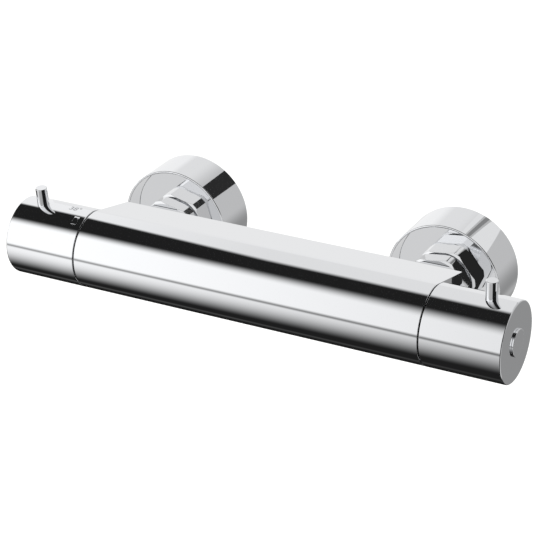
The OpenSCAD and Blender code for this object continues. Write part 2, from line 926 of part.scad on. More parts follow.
module cartridge_base() {
    color("white") at_left_end() difference() {
        union() {
            rod(cage_radius, -base_end_depth, -cage_end_depth - seat_gap);
            rod(cage_bore_radius - running_fit, -base_end_depth, -cold_seat_depth);
        }
        rod(base_channel_radius, base_floor - base_end_depth, overrun - cold_seat_depth);
        rod(base_outlet_radius, -base_end_depth - overrun, -cold_seat_depth);
        seal_groove(seal_groove_radius, cage_radius + overrun, seal_groove_width, -lower_seal_depth);
    }
}

module cartridge_seals() {
    color("black") at_left_end() for (depth = [upper_seal_depth, middle_seal_depth, lower_seal_depth])
        seal_ring(seal_groove_radius, cartridge_bore_radius, -depth);
}

module pressure_nut() {
    collar_end = pressure_nut_top + pressure_nut_collar;
    color("goldenrod") at_left_end() difference() {
        union() {
            rod(pressure_nut_radius, -pressure_nut_end, -pressure_nut_top);
            translate([-key_radius, -key_width / 2, -key_to])
                cube([2 * key_radius, key_width, key_to - key_from]);
        }
        rod(spindle_thread_radius + running_fit, -collar_end - overrun, overrun - pressure_nut_top);
        rod(pressure_nut_bore_radius, pressure_nut_lip - pressure_nut_end, -collar_end);
        rod(pressure_nut_lip_radius, -pressure_nut_end - overrun, -collar_end);
    }
}

module overload_spring() {
    color("silver") at_left_end()
        coil_spring(overload_spring_radius, overload_spring_wire, overload_spring_turns,
            -overload_cup_top, -pressure_nut_top - pressure_nut_collar);
}

module overload_cup() {
    color("silver") at_left_end() difference() {
        union() {
            rod(overload_cup_radius, -overload_cup_flange_end, -overload_cup_top);
            rod(overload_cup_stub_radius, -overload_cup_end, -overload_cup_top);
        }
        rod(piston_bore_radius, -overload_cup_end - overrun, overload_socket_depth - overload_cup_end);
    }
}

module wax_element() {
    flange_top = spider_top - capsule_flange;
    guide_top = flange_top - guide_length;
    color("peru") at_left_end() {
        rod(piston_radius, -guide_top - overrun, -piston_top);
        rod(guide_radius, -flange_top - overrun, -guide_top);
        rod(capsule_flange_radius, -spider_top, -flange_top);
        eased_capsule();
    }
}

// The copper cup that holds the wax, with a rounded end
module eased_capsule() {
    rotate([180, 0, 0]) eased_disc(capsule_radius, spider_top - capsule_flange, capsule_end, capsule_neck);
}

module mixing_spool() {
    hub_bore = capsule_radius + running_fit;
    hub_radius_here = hub_bore + spider_hub_wall;
    inner_radius = spool_radius - spool_wall;
    spider_end = spider_top + spider_height;
    color("whitesmoke") at_left_end() difference() {
        union() {
            ring(spool_radius, inner_radius, -spool_end, -spool_top);
            rod(hub_radius_here, -spider_end, -spider_top - running_fit);
            around(spider_arms) translate([0, -spider_arm_width / 2, -spider_end])
                cube([spool_radius - spool_wall / 2, spider_arm_width, spider_height - running_fit]);
        }
        rod(hub_bore, -spider_end - overrun, overrun - spider_top);
        seal_groove(spool_groove_radius, spool_radius + overrun, spool_groove_width, -middle_seal_depth);
    }
}

module spool_seal() {
    color("black") at_left_end() seal_ring(spool_groove_radius, cage_bore_radius, -middle_seal_depth);
}

module return_spring() {
    color("silver") at_left_end()
        coil_spring(return_spring_radius, return_spring_wire, return_spring_turns,
            base_floor - base_end_depth, -spider_top - spider_height);
}

// Flow handle

module flow_knob() {
    color("gainsboro") at_right_end() handle_casting(flow_lean);
}

// Its finger runs between the ends of the stop ring's wall
module flow_hub() {
    arm_from = flow_hub_from + small_edge;
    color("dimgray") at_right_end() {
        splined_hub(flow_hub_from);
        rotate([0, 0, flow_lean]) difference() {
            translate([0, -flow_finger_width / 2, flow_finger_from])
                cube([flow_finger_outer, flow_finger_width, arm_from + flow_hub_arm - flow_finger_from]);
            rod(flow_finger_inner, flow_finger_from - overrun, arm_from);
            rod(hub_radius - small_edge, flow_finger_from - overrun, arm_from + flow_hub_arm + overrun);
        }
    }
}

module flow_cap() {
    color("gainsboro") at_right_end() handle_cap();
}

module flow_screw() {
    color("silver") at_right_end() handle_screw();
}

module flow_lever() {
    color("gainsboro") at_right_end() lever_pin(flow_lean);
}

// Flow cartridge

module flow_stop_ring() {
    free_half = flow_finger_half_angle + flow_stop_gap;
    color("white") at_right_end() {
        ring(flow_ring_radius, housing_nose_radius + running_fit, flow_ring_from, flow_ring_wall_from);
        rotate([0, 0, flow_lean + flow_turn + free_half])
            sector(flow_ring_radius - small_edge, flow_ring_wall_radius, 360 - flow_turn - 2 * free_half,
                flow_ring_wall_from - small_edge, flow_ring_wall_from + flow_ring_wall_height);
    }
}

module flow_spindle() {
    color("goldenrod") at_right_end() {
        splined_end(nose_top);
        difference() {
            union() {
                rod(spindle_radius, -drive_flange_top - drive_flange, nose_top);
                rod(collar_radius, -drive_flange_top - drive_flange, -flow_cavity_top - seat_gap);
                drive_flange();
            }
            spindle_groove();
        }
    }
}

// Two wings with pins that turn the moving disc and leave its ports free
module drive_flange() {
    flange_end = drive_flange_top + drive_flange;
    wing_start = flow_turn + disc_port_sweep;
    wing_sweep = 180 - disc_port_sweep;
    for (turn = [0, 180]) rotate([0, 0, wing_start + turn])
        sector(drive_flange_radius, spindle_radius - overrun, wing_sweep, -flange_end, -drive_flange_top);
    for (turn = [0, 180]) rotate([0, 0, wing_start + wing_sweep / 2 + turn])
        translate([drive_pin_place, 0, 0])
        rod(drive_pin_radius, -moving_disc_top - drive_pin_length, -drive_flange_top);
}

module flow_spindle_seal() {
    color("black") at_right_end() seal_ring(spindle_groove_radius, spindle_bore_radius, spindle_groove_z);
}

module flow_housing() {
    key_inner = disc_key_radius + disc_key_gap;
    color("goldenrod") at_right_end() {
        difference() {
            union() {
                rod(housing_radius, -housing_end_depth, overrun);
                hex_prism(housing_hex_flats, 0, housing_hex_height);
                rod(housing_nose_radius, 0, housing_nose_top);
            }
            rod(spindle_bore_radius, -flow_bore_depth, housing_nose_top + overrun);
            rod(housing_bore_radius, -flow_bore_depth, -flow_cavity_top);
            around(flow_windows) sector(housing_radius + overrun, housing_bore_radius - overrun,
                flow_window_sweep, -flow_window_end, flow_window_height - flow_window_end);
            seal_groove(housing_groove_radius, housing_radius + overrun, seal_groove_width,
                -housing_seal_depth);
        }
        for (turn = [0, 180]) rotate([0, 0, turn])
            translate([key_inner, -disc_key_width / 2, seat_gap - fixed_disc_end])
            cube([(housing_bore_radius + housing_radius) / 2 - key_inner, disc_key_width,
                disc_thickness - 2 * seat_gap]);
    }
}

module flow_housing_seal() {
    color("black") at_right_end() seal_ring(housing_groove_radius, flow_bore_radius, -housing_seal_depth);
}

module disc_ports(from, to) {
    for (turn = [0, 180]) rotate([0, 0, turn])
        sector(disc_port_outer, disc_port_inner, disc_port_sweep, from, to);
}

module moving_disc() {
    wing_start = flow_turn + disc_port_sweep;
    wing_sweep = 180 - disc_port_sweep;
    pin_end = moving_disc_top + drive_pin_length;
    color("ivory") at_right_end() difference() {
        rod(moving_disc_radius, -disc_joint, -moving_disc_top);
        rotate([0, 0, flow_turn]) disc_ports(-disc_joint - overrun, overrun - moving_disc_top);
        for (turn = [0, 180]) rotate([0, 0, wing_start + wing_sweep / 2 + turn])
            translate([drive_pin_place, 0, 0])
            rod(drive_pin_radius + running_fit, -pin_end - seat_gap, overrun - moving_disc_top);
    }
}

module fixed_disc() {
    notch = disc_key_width + 2 * disc_key_gap;
    color("ivory") at_right_end() difference() {
        rod(fixed_disc_radius, -fixed_disc_end, -disc_joint - running_fit);
        disc_ports(-fixed_disc_end - overrun, overrun - disc_joint);
        for (turn = [0, 180]) rotate([0, 0, turn])
            translate([disc_key_radius, -notch / 2, -fixed_disc_end - overrun])
            cube([disc_key_radius, notch, disc_thickness + 2 * overrun]);
    }
}

module flow_seat_seal() {
    color("black") at_right_end()
        ring(fixed_disc_radius, fixed_disc_radius - seat_seal_width, -flow_bore_depth, -fixed_disc_end);
}

// Wall connections

module wall_cover() {
    inner_radius = cover_radius - cover_wall;
    rim = cover_wall / 2;
    hole_radius = wall_thread_radius + nut_clearance + running_fit;
    rotate_extrude() union() {
        translate([inner_radius, 0]) square([cover_wall, cover_depth - rim]);
        translate([inner_radius + rim, cover_depth - rim]) circle(r = rim);
        translate([hole_radius, cover_web_depth - cover_web])
            square([inner_radius + rim - hole_radius, cover_web]);
    }
}

// Wall thread, shank, collar in the cover's hole, washer face, hexagon, neck and nut thread
module wall_union(hex_turn) {
    difference() {
        union() {
            rotate_extrude() polygon([
                [0, -wall_thread_depth],
                [wall_thread_radius - wall_thread_chamfer, -wall_thread_depth],
                [wall_thread_radius, wall_thread_chamfer - wall_thread_depth],
                [wall_thread_radius, wall_thread_out],
                [wall_shank_radius, wall_thread_out],
                [wall_shank_radius, union_hex_from - wall_collar],
                [wall_thread_radius, union_hex_from - wall_collar],
                [wall_thread_radius, union_hex_from],
                [0, union_hex_from]
            ]);
            rod(union_washer_radius, cover_web_depth, union_hex_from + union_washer);
            rotate([0, 0, hex_turn]) turned_hex(union_hex_from, union_hex_to);
            rod(union_neck_radius, union_hex_to - overrun, union_end);
            rod(nut_thread_radius - running_fit, union_thread_start, union_end);
        }
        rod(union_bore_radius, -wall_thread_depth - overrun, union_end + overrun);
    }
}

module union_nut(hex_turn) {
    difference() {
        rotate([0, 0, hex_turn]) turned_hex(nut_back, nut_front);
        rod(nut_thread_radius, nut_back - overrun, nut_front - nut_web);
        rod(tail_radius + 3 * running_fit, nut_back, nut_front + overrun);
    }
}

module inlet_tail() {
    difference() {
        union() {
            rod(tail_flange_radius, tail_from, tail_from + tail_flange);
            rod(tail_radius, tail_from, tail_to);
        }
        rod(tail_bore_radius, tail_from - overrun, tail_to - tail_lip);
        rod(tail_lip_radius, tail_from, tail_to + overrun);
    }
}

module gasket() {
    ring(tail_flange_radius - gasket_edge, tail_bore_radius, union_end, tail_from);
}

module strainer() {
    difference() {
        rod(check_radius, tail_from + seat_gap, tail_from + seat_gap + strainer_thickness);
        rod(strainer_hole_radius, tail_from, check_from);
        for (row = [1 : strainer_rings]) around(6 * row) translate([strainer_pitch * row, 0, 0])
            rod(strainer_hole_radius, tail_from, check_from);
    }
}

module check_housing() {
    inner_radius = check_radius - check_wall;
    spider_from = check_to - check_spider;
    difference() {
        union() {
            ring(check_radius, inner_radius, check_from, check_to);
            ring(check_radius, check_seat_radius, check_from, check_from + check_seat_height);
            rod(check_hub_radius, spider_from, check_to);
            around(check_arms) translate([0, -check_arm_width / 2, spider_from])
                cube([inner_radius + check_wall / 2, check_arm_width, check_spider]);
        }
        rod(poppet_stem_radius + running_fit, spider_from - overrun, check_to + overrun);
    }
}

module check_poppet() {
    head_from = check_from + check_seat_height + poppet_clearance;
    rod(poppet_radius, head_from, head_from + poppet_head);
    rod(poppet_stem_radius, head_from, check_to - seat_gap);
}

module check_spring() {
    head_to = check_from + check_seat_height + poppet_clearance + poppet_head;
    coil_spring(check_spring_radius, check_spring_wire, check_spring_turns, head_to, check_to - check_spider);
}

module left_cover() {
    color("gainsboro") at_inlet(-1) wall_cover();
}

module right_cover() {
    color("gainsboro") at_inlet(1) wall_cover();
}

module left_wall_union() {
    color("silver") at_inlet(-1) wall_union(left_hex_turn);
}

module right_wall_union() {
    color("silver") at_inlet(1) wall_union(right_hex_turn);
}

module left_union_nut() {
    color("silver") at_inlet(-1) union_nut(left_hex_turn);
}

module right_union_nut() {
    color("silver") at_inlet(1) union_nut(right_hex_turn);
}

module left_inlet_tail() {
    color("goldenrod") at_inlet(-1) inlet_tail();
}

module right_inlet_tail() {
    color("goldenrod") at_inlet(1) inlet_tail();
}

module left_gasket() {
    color("black") at_inlet(-1) gasket();
}

module right_gasket() {
    color("black") at_inlet(1) gasket();
}

module inlet_strainers() {
    color("silver") for (side = [-1, 1]) at_inlet(side) strainer();
}

module left_check_housing() {
    color("white") at_inlet(-1) check_housing();
}

module right_check_housing() {
    color("white") at_inlet(1) check_housing();
}

module left_check_poppet() {
    color("dodgerblue") at_inlet(-1) check_poppet();
}

module right_check_poppet() {
    color("dodgerblue") at_inlet(1) check_poppet();
}

module left_check_spring() {
    color("silver") at_inlet(-1) check_spring();
}

module right_check_spring() {
    color("silver") at_inlet(1) check_spring();
}

// Outlet

module outlet_nipple() {
    color("gainsboro") at_outlet() difference() {
        union() {
            rod(outlet_spigot_radius, -outlet_thread_top, outlet_spigot_length - outlet_boss_drop);
            rotate_extrude() polygon([
                [0, -outlet_end],
                [outlet_thread_radius - outlet_chamfer, -outlet_end],
                [outlet_thread_radius, outlet_chamfer - outlet_end],
                [outlet_thread_radius, -outlet_thread_top - outlet_relief],
                [outlet_relief_radius, -outlet_thread_top - outlet_relief],
                [outlet_relief_radius, -outlet_thread_top],
                [0, -outlet_thread_top]
            ]);
        }
        rod(outlet_bore_radius, -outlet_end - overrun, overrun - outlet_shaft_top);
        hex_prism(outlet_key_flats, -outlet_end - overrun, outlet_key_depth - outlet_end);
    }
}

module outlet_seal() {
    inner = outlet_spigot_radius + running_fit;
    color("black") at_outlet()
        ring(inner + outlet_seal_overlap, inner, -outlet_thread_top, -outlet_boss_drop);
}

valve_body();
temperature_knob();
temperature_hub();
temperature_cap();
temperature_screw();
temperature_lever();
safety_button();
safety_spring();
stop_ring();
adjusting_spindle();
spindle_seal();
cartridge_head();
retaining_nut();
cartridge_cage();
cartridge_base();
cartridge_seals();
pressure_nut();
overload_spring();
overload_cup();
wax_element();
mixing_spool();
spool_seal();
return_spring();
flow_knob();
flow_hub();
flow_cap();
flow_screw();
flow_lever();
flow_stop_ring();
flow_spindle();
flow_spindle_seal();
flow_housing();
flow_housing_seal();
moving_disc();
fixed_disc();
flow_seat_seal();
left_cover();
right_cover();
left_wall_union();
right_wall_union();
left_union_nut();
right_union_nut();
left_inlet_tail();
right_inlet_tail();
left_gasket();
right_gasket();
inlet_strainers();
left_check_housing();
right_check_housing();
left_check_poppet();
right_check_poppet();
left_check_spring();
right_check_spring();
outlet_nipple();
outlet_seal();
gallery_plug();
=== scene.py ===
"""Looks of the thermostatic shower valve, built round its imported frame.

X runs along the bar to the right, Y runs towards the wall and Z is up. The wall's surface is the
plane Y = 0. Sizes in the classes are in millimetres; meshes are in metres, as the frame is.
"""

from __future__ import annotations

import json
import logging
import math
from collections.abc import Callable, Sequence
from dataclasses import dataclass, field
from enum import Enum

import bmesh
import bpy
import numpy as np
from mathutils import Matrix, Vector
from mathutils.bvhtree import BVHTree
from mathutils.interpolate import poly_3d_calc

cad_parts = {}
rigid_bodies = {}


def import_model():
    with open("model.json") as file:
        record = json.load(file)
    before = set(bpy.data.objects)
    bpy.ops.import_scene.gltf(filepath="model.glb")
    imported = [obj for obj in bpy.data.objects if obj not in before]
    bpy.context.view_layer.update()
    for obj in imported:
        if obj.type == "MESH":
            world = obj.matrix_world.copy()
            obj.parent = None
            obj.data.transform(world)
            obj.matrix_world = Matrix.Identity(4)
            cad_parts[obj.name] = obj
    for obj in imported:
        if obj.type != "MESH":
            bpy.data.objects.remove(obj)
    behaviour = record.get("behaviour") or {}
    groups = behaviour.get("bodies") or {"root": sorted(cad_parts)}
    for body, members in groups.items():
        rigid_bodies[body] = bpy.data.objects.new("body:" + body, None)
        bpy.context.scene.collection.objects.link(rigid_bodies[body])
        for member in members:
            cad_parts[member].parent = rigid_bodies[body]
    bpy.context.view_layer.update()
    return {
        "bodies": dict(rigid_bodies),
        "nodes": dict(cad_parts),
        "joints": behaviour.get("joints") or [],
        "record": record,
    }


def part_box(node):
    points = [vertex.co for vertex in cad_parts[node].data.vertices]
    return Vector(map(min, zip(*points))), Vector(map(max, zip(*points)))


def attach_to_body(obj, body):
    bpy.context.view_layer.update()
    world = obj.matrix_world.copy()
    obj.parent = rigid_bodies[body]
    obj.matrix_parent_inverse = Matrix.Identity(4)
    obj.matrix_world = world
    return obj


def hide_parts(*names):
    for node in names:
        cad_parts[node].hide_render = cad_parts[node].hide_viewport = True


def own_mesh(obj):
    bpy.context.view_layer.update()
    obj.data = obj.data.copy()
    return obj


LOG = logging.getLogger("shower_valve")
MM = 0.001
FIXED = "fixed_parts"
TEMPERATURE = "temperature_handle"
FLOW = "flow_handle"

Corner = tuple[float, float, float]
NodeTree = bpy.types.NodeTree
Object = bpy.types.Object
Pair = tuple[float, float]
Socket = bpy.types.NodeSocket

# The most of a side that a corner's rounding takes
SIDE_SHARE = 0.48
# Edges of a bore that are sharper than this stay sharp, in degrees
BORE_SHARP = 30.0
# Millimetres by which a shell that faces a quarter turn away counts as further off
FACING_WEIGHT = 0.1
# Cosine of the most that a skin's normal may lean away from its face
LEAST_AGREEMENT = 0.5
# Strength at which the chrome plate shows a white panel as white
WHITE_IN_PLATE = 1.14
# Sideways part of the way in which the bar's left end, middle and right end mirror the studio
LEFT_WAY = -0.52
CENTRE_WAY = -0.43
RIGHT_WAY = -0.31


class Join(Enum):
    """Ways in which two solids are joined: what both hold, or what either holds."""

    BOTH = "INTERSECT"
    EITHER = "UNION"


class Side(Enum):
    """The two sides of the valve, by the sign of X."""

    LEFT = -1
    RIGHT = 1

    @property
    def word(self) -> str:
        """The side's name as it stands in the names of nodes."""
        return self.name.lower()


# Nodes and colours


def linear(hex_colour: str) -> tuple[float, float, float, float]:
    """Turns an sRGB hex colour into the linear colour that shaders take.

    Args:
        hex_colour: Six hexadecimal digits after a hash sign.

    Returns:
        Linear red, green, blue and an alpha of one.
    """
    shares = [int(hex_colour[i : i + 2], 16) / 255 for i in (1, 3, 5)]
    bent = [s / 12.92 if s <= 0.04045 else ((s + 0.055) / 1.055) ** 2.4 for s in shares]
    return (bent[0], bent[1], bent[2], 1.0)


def grey(shade: float) -> tuple[float, float, float, float]:
    """The linear colour of a grey, given as an sRGB share of white."""
    step = round(255 * shade)
    return linear(f"#{step:02X}{step:02X}{step:02X}")


def add_node(
    tree: NodeTree,
    kind: str,
    inputs: dict[str | int, object] | None = None,
    **settings: object,
) -> bpy.types.Node:
    """Adds a node to a tree.

    Args:
        tree: The tree that takes the node.
        kind: Blender's name for the kind of node.
        inputs: A socket to link from or a value to set, for each input by name or number.
        **settings: Properties of the node itself.

    Returns:
        The new node.
    """
    node = tree.nodes.new(kind)
    for name, value in settings.items():
        setattr(node, name, value)
    for key, value in (inputs or {}).items():
        if isinstance(value, bpy.types.NodeSocket):
            tree.links.new(value, node.inputs[key])
        else:
            node.inputs[key].default_value = value
    return node


def add_formula(
    tree: NodeTree,
    known: dict[str, Socket],
    lines: Sequence[tuple[str | float, ...]],
    clamped: Sequence[str] = (),
) -> dict[str, Socket]:
    """Adds the sums of a formula, one line after the other.

    Args:
        tree: The tree that takes the sums.
        known: The sockets that the formula may name.
        lines: Each sum's own name, its operation and its values, which are names or numbers.
        clamped: Names of the sums that stay between zero and one.

    Returns:
        The known sockets and the result of every sum, by name.
    """
    found = dict(known)
    for name, operation, *values in lines:
        sockets = {i: found[v] if isinstance(v, str) else v for i, v in enumerate(values)}
        node = add_node(
            tree, "ShaderNodeMath", sockets, operation=operation, use_clamp=name in clamped
        )
        found[name] = node.outputs[0]
    return found


def add_group(name: str, inputs: dict[str, Sequence[str]], result: str) -> NodeTree:
    """Adds an empty group of geometry nodes.

    Args:
        name: The group's name.
        inputs: Names of its inputs, by their kind.
        result: Name of the geometry that it gives.

    Returns:
        The group with its sockets.
    """
    tree = bpy.data.node_groups.new(name, "GeometryNodeTree")
    for kind, labels in inputs.items():
        for label in labels:
            tree.interface.new_socket(
                name=label, in_out="INPUT", socket_type="NodeSocket" + kind
            )
    tree.interface.new_socket(name=result, in_out="OUTPUT", socket_type="NodeSocketGeometry")
    return tree


# Finishes


@dataclass(frozen=True)
class Finish:
    """A surface finish, named for what the real surface is and how it was made."""

    name: str
    colour: str
    roughness: float
    metallic: float = 0.0
    ior: float = 1.5
    grain_mm: float = 0.6
    grain_stretch: tuple[float, float, float] = (1.0, 1.0, 1.0)
    relief_mm: float = 0.01
    roughness_spread: float = 0.05
    haze_span: Pair = (0.3, 0.7)

    def material(self) -> bpy.types.Material:
        """Makes the finish's material, unless it is there already.

        Returns:
            The material.
        """
        found = bpy.data.materials.get(self.name)
        if found is not None:
            return found
        material = bpy.data.materials.new(self.name)
        material.use_nodes = True
        tree = material.node_tree
        tree.nodes.clear()
        shader = add_node(tree, "ShaderNodeBsdfPrincipled")
        shader.inputs["Base Color"].default_value = linear(self.colour)
        shader.inputs["Metallic"].default_value = self.metallic
        if not self.metallic:
            shader.inputs["IOR"].default_value = self.ior
        self.surface(tree, shader)
        add_node(tree, "ShaderNodeOutputMaterial", {"Surface": shader.outputs["BSDF"]})
        return material

    def surface(self, tree: NodeTree, shader: bpy.types.Node) -> None:
        """Adds the grain that drives the shader's roughness and bump.

        Args:
            tree: The material's tree.
            shader: Its principled shader.
        """
        place = add_node(tree, "ShaderNodeTexCoord").outputs["Object"]
        scale = 1 / (self.grain_mm * MM)
        stretched = add_node(
            tree,
            "ShaderNodeMapping",
            {"Vector": place, "Scale": tuple(scale * s for s in self.grain_stretch)},
        )
        grain = add_node(
            tree,
            "ShaderNodeTexNoise",
            {"Vector": stretched.outputs["Vector"], "Scale": 1.0, "Detail": 3.0, "Roughness": 0.55},
        )
        smoothest = max(0.0, self.roughness - self.roughness_spread)
        self.drive(shader, grain, smoothest, grain, self.relief_mm)

    def drive(
        self,
        shader: bpy.types.Node,
        haze: bpy.types.Node,
        smoothest: float,
        relief: bpy.types.Node,
        relief_mm: float,
    ) -> None:
        """Lets one pattern drive the shader's roughness and one its bump.

        Args:
            shader: The material's principled shader.
            haze: The pattern of the roughness.
            smoothest: The least roughness.
            relief: The pattern of the bump.
            relief_mm: The bump's depth.
        """
        tree = shader.id_data
        spread = add_node(
            tree,
            "ShaderNodeMapRange",
            {
                "Value": haze.outputs["Fac"],
                "From Min": self.haze_span[0],
                "From Max": self.haze_span[1],
                "To Min": smoothest,
                "To Max": self.roughness + self.roughness_spread,
            },
        )
        bump = add_node(
            tree,
            "ShaderNodeBump",
            {"Height": relief.outputs["Fac"], "Strength": 1.0, "Distance": relief_mm * MM},
        )
        tree.links.new(spread.outputs["Result"], shader.inputs["Roughness"])
        tree.links.new(bump.outputs["Normal"], shader.inputs["Normal"])


@dataclass(frozen=True)
class ChromePlate(Finish):
    """Bright nickel-chrome plate on buffed brass: a mirror that the buffing left barely wavy."""

    wave_mm: float = 14.0
    wave_relief_mm: float = 0.0015
    haze_mm: float = 2.5
    haze_span: Pair = (0.35, 0.75)

    def surface(self, tree: NodeTree, shader: bpy.types.Node) -> None:
        """Adds long buffing waves and a thin uneven haze.

        Args:
            tree: The material's tree.
            shader: Its principled shader.
        """
        place = add_node(tree, "ShaderNodeTexCoord").outputs["Object"]
        waves = add_node(
            tree,
            "ShaderNodeTexNoise",
            {"Vector": place, "Scale": 1 / (self.wave_mm * MM), "Detail": 1.0, "Roughness": 0.4},
        )
        haze = add_node(
            tree,
            "ShaderNodeTexNoise",
            {"Vector": place, "Scale": 1 / (self.haze_mm * MM), "Detail": 4.0, "Roughness": 0.6},
        )
        self.drive(shader, haze, self.roughness, waves, self.wave_relief_mm)


@dataclass(frozen=True)
class TurnedMetal(Finish):
    """Metal straight from the lathe: fine rings left by the tool's feed."""

    feed_mm: float = 0.35
    axis: str = "X"

    def surface(self, tree: NodeTree, shader: bpy.types.Node) -> None:
        """Adds the feed rings and a slight tarnish.

        Args:
            tree: The material's tree.
            shader: Its principled shader.
        """
        place = add_node(tree, "ShaderNodeTexCoord").outputs["Object"]
        rings = add_node(
            tree,
            "ShaderNodeTexWave",
            {"Vector": place, "Scale": 1 / (self.feed_mm * MM * 20 / math.tau), "Distortion": 0.4},
            wave_type="BANDS",
            bands_direction=self.axis,
        )
        tarnish = add_node(
            tree,
            "ShaderNodeTexNoise",
            {"Vector": place, "Scale": 1 / (self.grain_mm * MM), "Detail": 4.0},
        )
        self.drive(shader, tarnish, self.roughness, rings, self.relief_mm)


# Polished decorative plate: nearly white, mirror-sharp
CHROME = ChromePlate("chrome_plate", "#F1F2F4", roughness=0.02, metallic=1.0, roughness_spread=0.04)
# Plate over turned brass, a little duller than the buffed castings
PLATED = ChromePlate(
    "plated_turned_brass",
    "#E9EAEC",
    roughness=0.05,
    metallic=1.0,
    wave_mm=6.0,
    wave_relief_mm=0.001,
    roughness_spread=0.05,
)
# Yellow brass with feed rings, as machined bores and spindles are
BRASS = TurnedMetal("turned_brass", "#D9B36A", roughness=0.22, metallic=1.0, relief_mm=0.004)
# The drawn copper cup of the wax capsule, with a faint tarnish
COPPER = TurnedMetal("drawn_copper", "#D98E63", roughness=0.25, metallic=1.0, relief_mm=0.002)
# Bright drawn stainless wire
SPRING = Finish(
    "drawn_spring_wire",
    "#BFC2C6",
    roughness=0.2,
    metallic=1.0,
    grain_mm=0.2,
    relief_mm=0.002,
)
# Lapped alumina: dense, ivory white and half glossy
CERAMIC = Finish("lapped_alumina", "#EFEBDD", roughness=0.18, ior=1.76, grain_mm=0.5, relief_mm=0.002)
# Acetal mouldings: slightly waxy, with the mould's fine spark texture
WHITE_ACETAL = Finish("white_acetal", "#E9E8E3", roughness=0.38, ior=1.48, grain_mm=0.3)
BLUE_ACETAL = Finish("blue_acetal", "#2F63B5", roughness=0.36, ior=1.48, grain_mm=0.3)
# Glass-filled nylon: dull, with fibres near the surface
DARK_NYLON = Finish(
    "glass_filled_nylon",
    "#24262A",
    roughness=0.5,
    ior=1.53,
    grain_mm=0.4,
    grain_stretch=(0.25, 1.0, 1.0),
    relief_mm=0.02,
)
# Peroxide-cured EPDM with a faint bloom
RUBBER = Finish("moulded_epdm", "#17181A", roughness=0.62, ior=1.52, grain_mm=0.7, relief_mm=0.015)
# Chrome frosted by a laser, dull against the mirror round it
LASER_MARK = Finish("laser_mark", "#A8AAAE", roughness=0.4, metallic=0.8, grain_mm=0.2)

FINISH_OF_SLOT = {
    "chrome": CHROME,
    "plated_brass": PLATED,
    "brass": BRASS,
    "copper": COPPER,
    "spring_steel": SPRING,
    "ceramic": CERAMIC,
    "white_plastic": WHITE_ACETAL,
    "dark_plastic": DARK_NYLON,
    "blue_plastic": BLUE_ACETAL,
    "rubber": RUBBER,
}


# Sections and shells


@dataclass
class Section:
    """An outline beside an axis, as radii and heights, with the way that it faces."""

    points: np.ndarray
    normals: np.ndarray


def rounded_section(corners: Sequence[Corner], closed: bool, steps: int = 5) -> Section:
    """Rounds the corners of an outline.

    Args:
        corners: Radius, height and rounding of each corner, with the solid on the left of the way
            from corner to corner.
        closed: Whether the last corner joins the first. An open outline starts and ends on the axis.
        steps: Number of points on each rounding.

    Returns:
        The rounded outline with the same number of points whatever the sizes are.
    """
    places = np.array([corner[:2] for corner in corners], float)
    count = len(places)
    points: list[np.ndarray] = []
    normals: list[np.ndarray] = []
    for i, place in enumerate(places):
        if not closed and i in (0, count - 1):
            way = places[1] - place if i == 0 else place - places[-2]
            way = way / np.linalg.norm(way)
            points.append(place)
            normals.append(np.array([way[1], -way[0]]))
            continue
        before = place - places[i - 1]
        after = places[(i + 1) % count] - place
        lengths = np.linalg.norm(before), np.linalg.norm(after)
        before, after = before / lengths[0], after / lengths[1]
        turn = math.atan2(before[0] * after[1] - before[1] * after[0], before @ after)
        half_tangent = abs(math.tan(turn / 2))
        reach = min(corners[i][2] * half_tangent, SIDE_SHARE * min(lengths))
        bend = math.copysign(reach / max(half_tangent, 1e-6), turn)
        facing = math.atan2(-before[0], before[1])
        centre = place - before * reach - bend * np.array([math.cos(facing), math.sin(facing)])
        for share in np.linspace(0, 1, steps):
            normal = np.array([math.cos(facing + turn * share), math.sin(facing + turn * share)])
            points.append(centre + bend * normal)
            normals.append(normal)
    return Section(np.array(points), np.array(normals))


@dataclass
class Place:
    """Where a piece's own axes lie in the valve's frame."""

    origin: np.ndarray
    axes: np.ndarray

    def matrix(self) -> Matrix:
        """Writes the place as a matrix.

        Returns:
            The matrix, from the piece's millimetres to the frame's metres.
        """
        full = Matrix.Identity(4)
        for row in range(3):
            for column in range(3):
                full[row][column] = self.axes[row][column] * MM
            full[row][3] = self.origin[row] * MM
        return full

    def radially(self, angle: float, height: float) -> "Place":
        """A place on this one's axis, whose Z points away from it.

        Args:
            angle: Angle about the axis, in degrees from its X.
            height: Distance along the axis.

        Returns:
            The new place.
        """
        turn = math.radians(angle)
        out = math.cos(turn) * self.axes[:, 0] + math.sin(turn) * self.axes[:, 1]
        along = self.axes[:, 2]
        return Place(
            self.origin + along * height,
            np.column_stack([-along, np.cross(out, -along), out]),
        )


@dataclass
class Shell:
    """One closed surface in millimetres, with its exact normals."""

    points: np.ndarray
    normals: np.ndarray
    faces: list[tuple[int, ...]]

    def placed(self, place: Place) -> "Shell":
        """The shell moved from a place's own axes into the valve's frame."""
        turned = place.axes.T
        return Shell(self.points @ turned + place.origin, self.normals @ turned, self.faces)


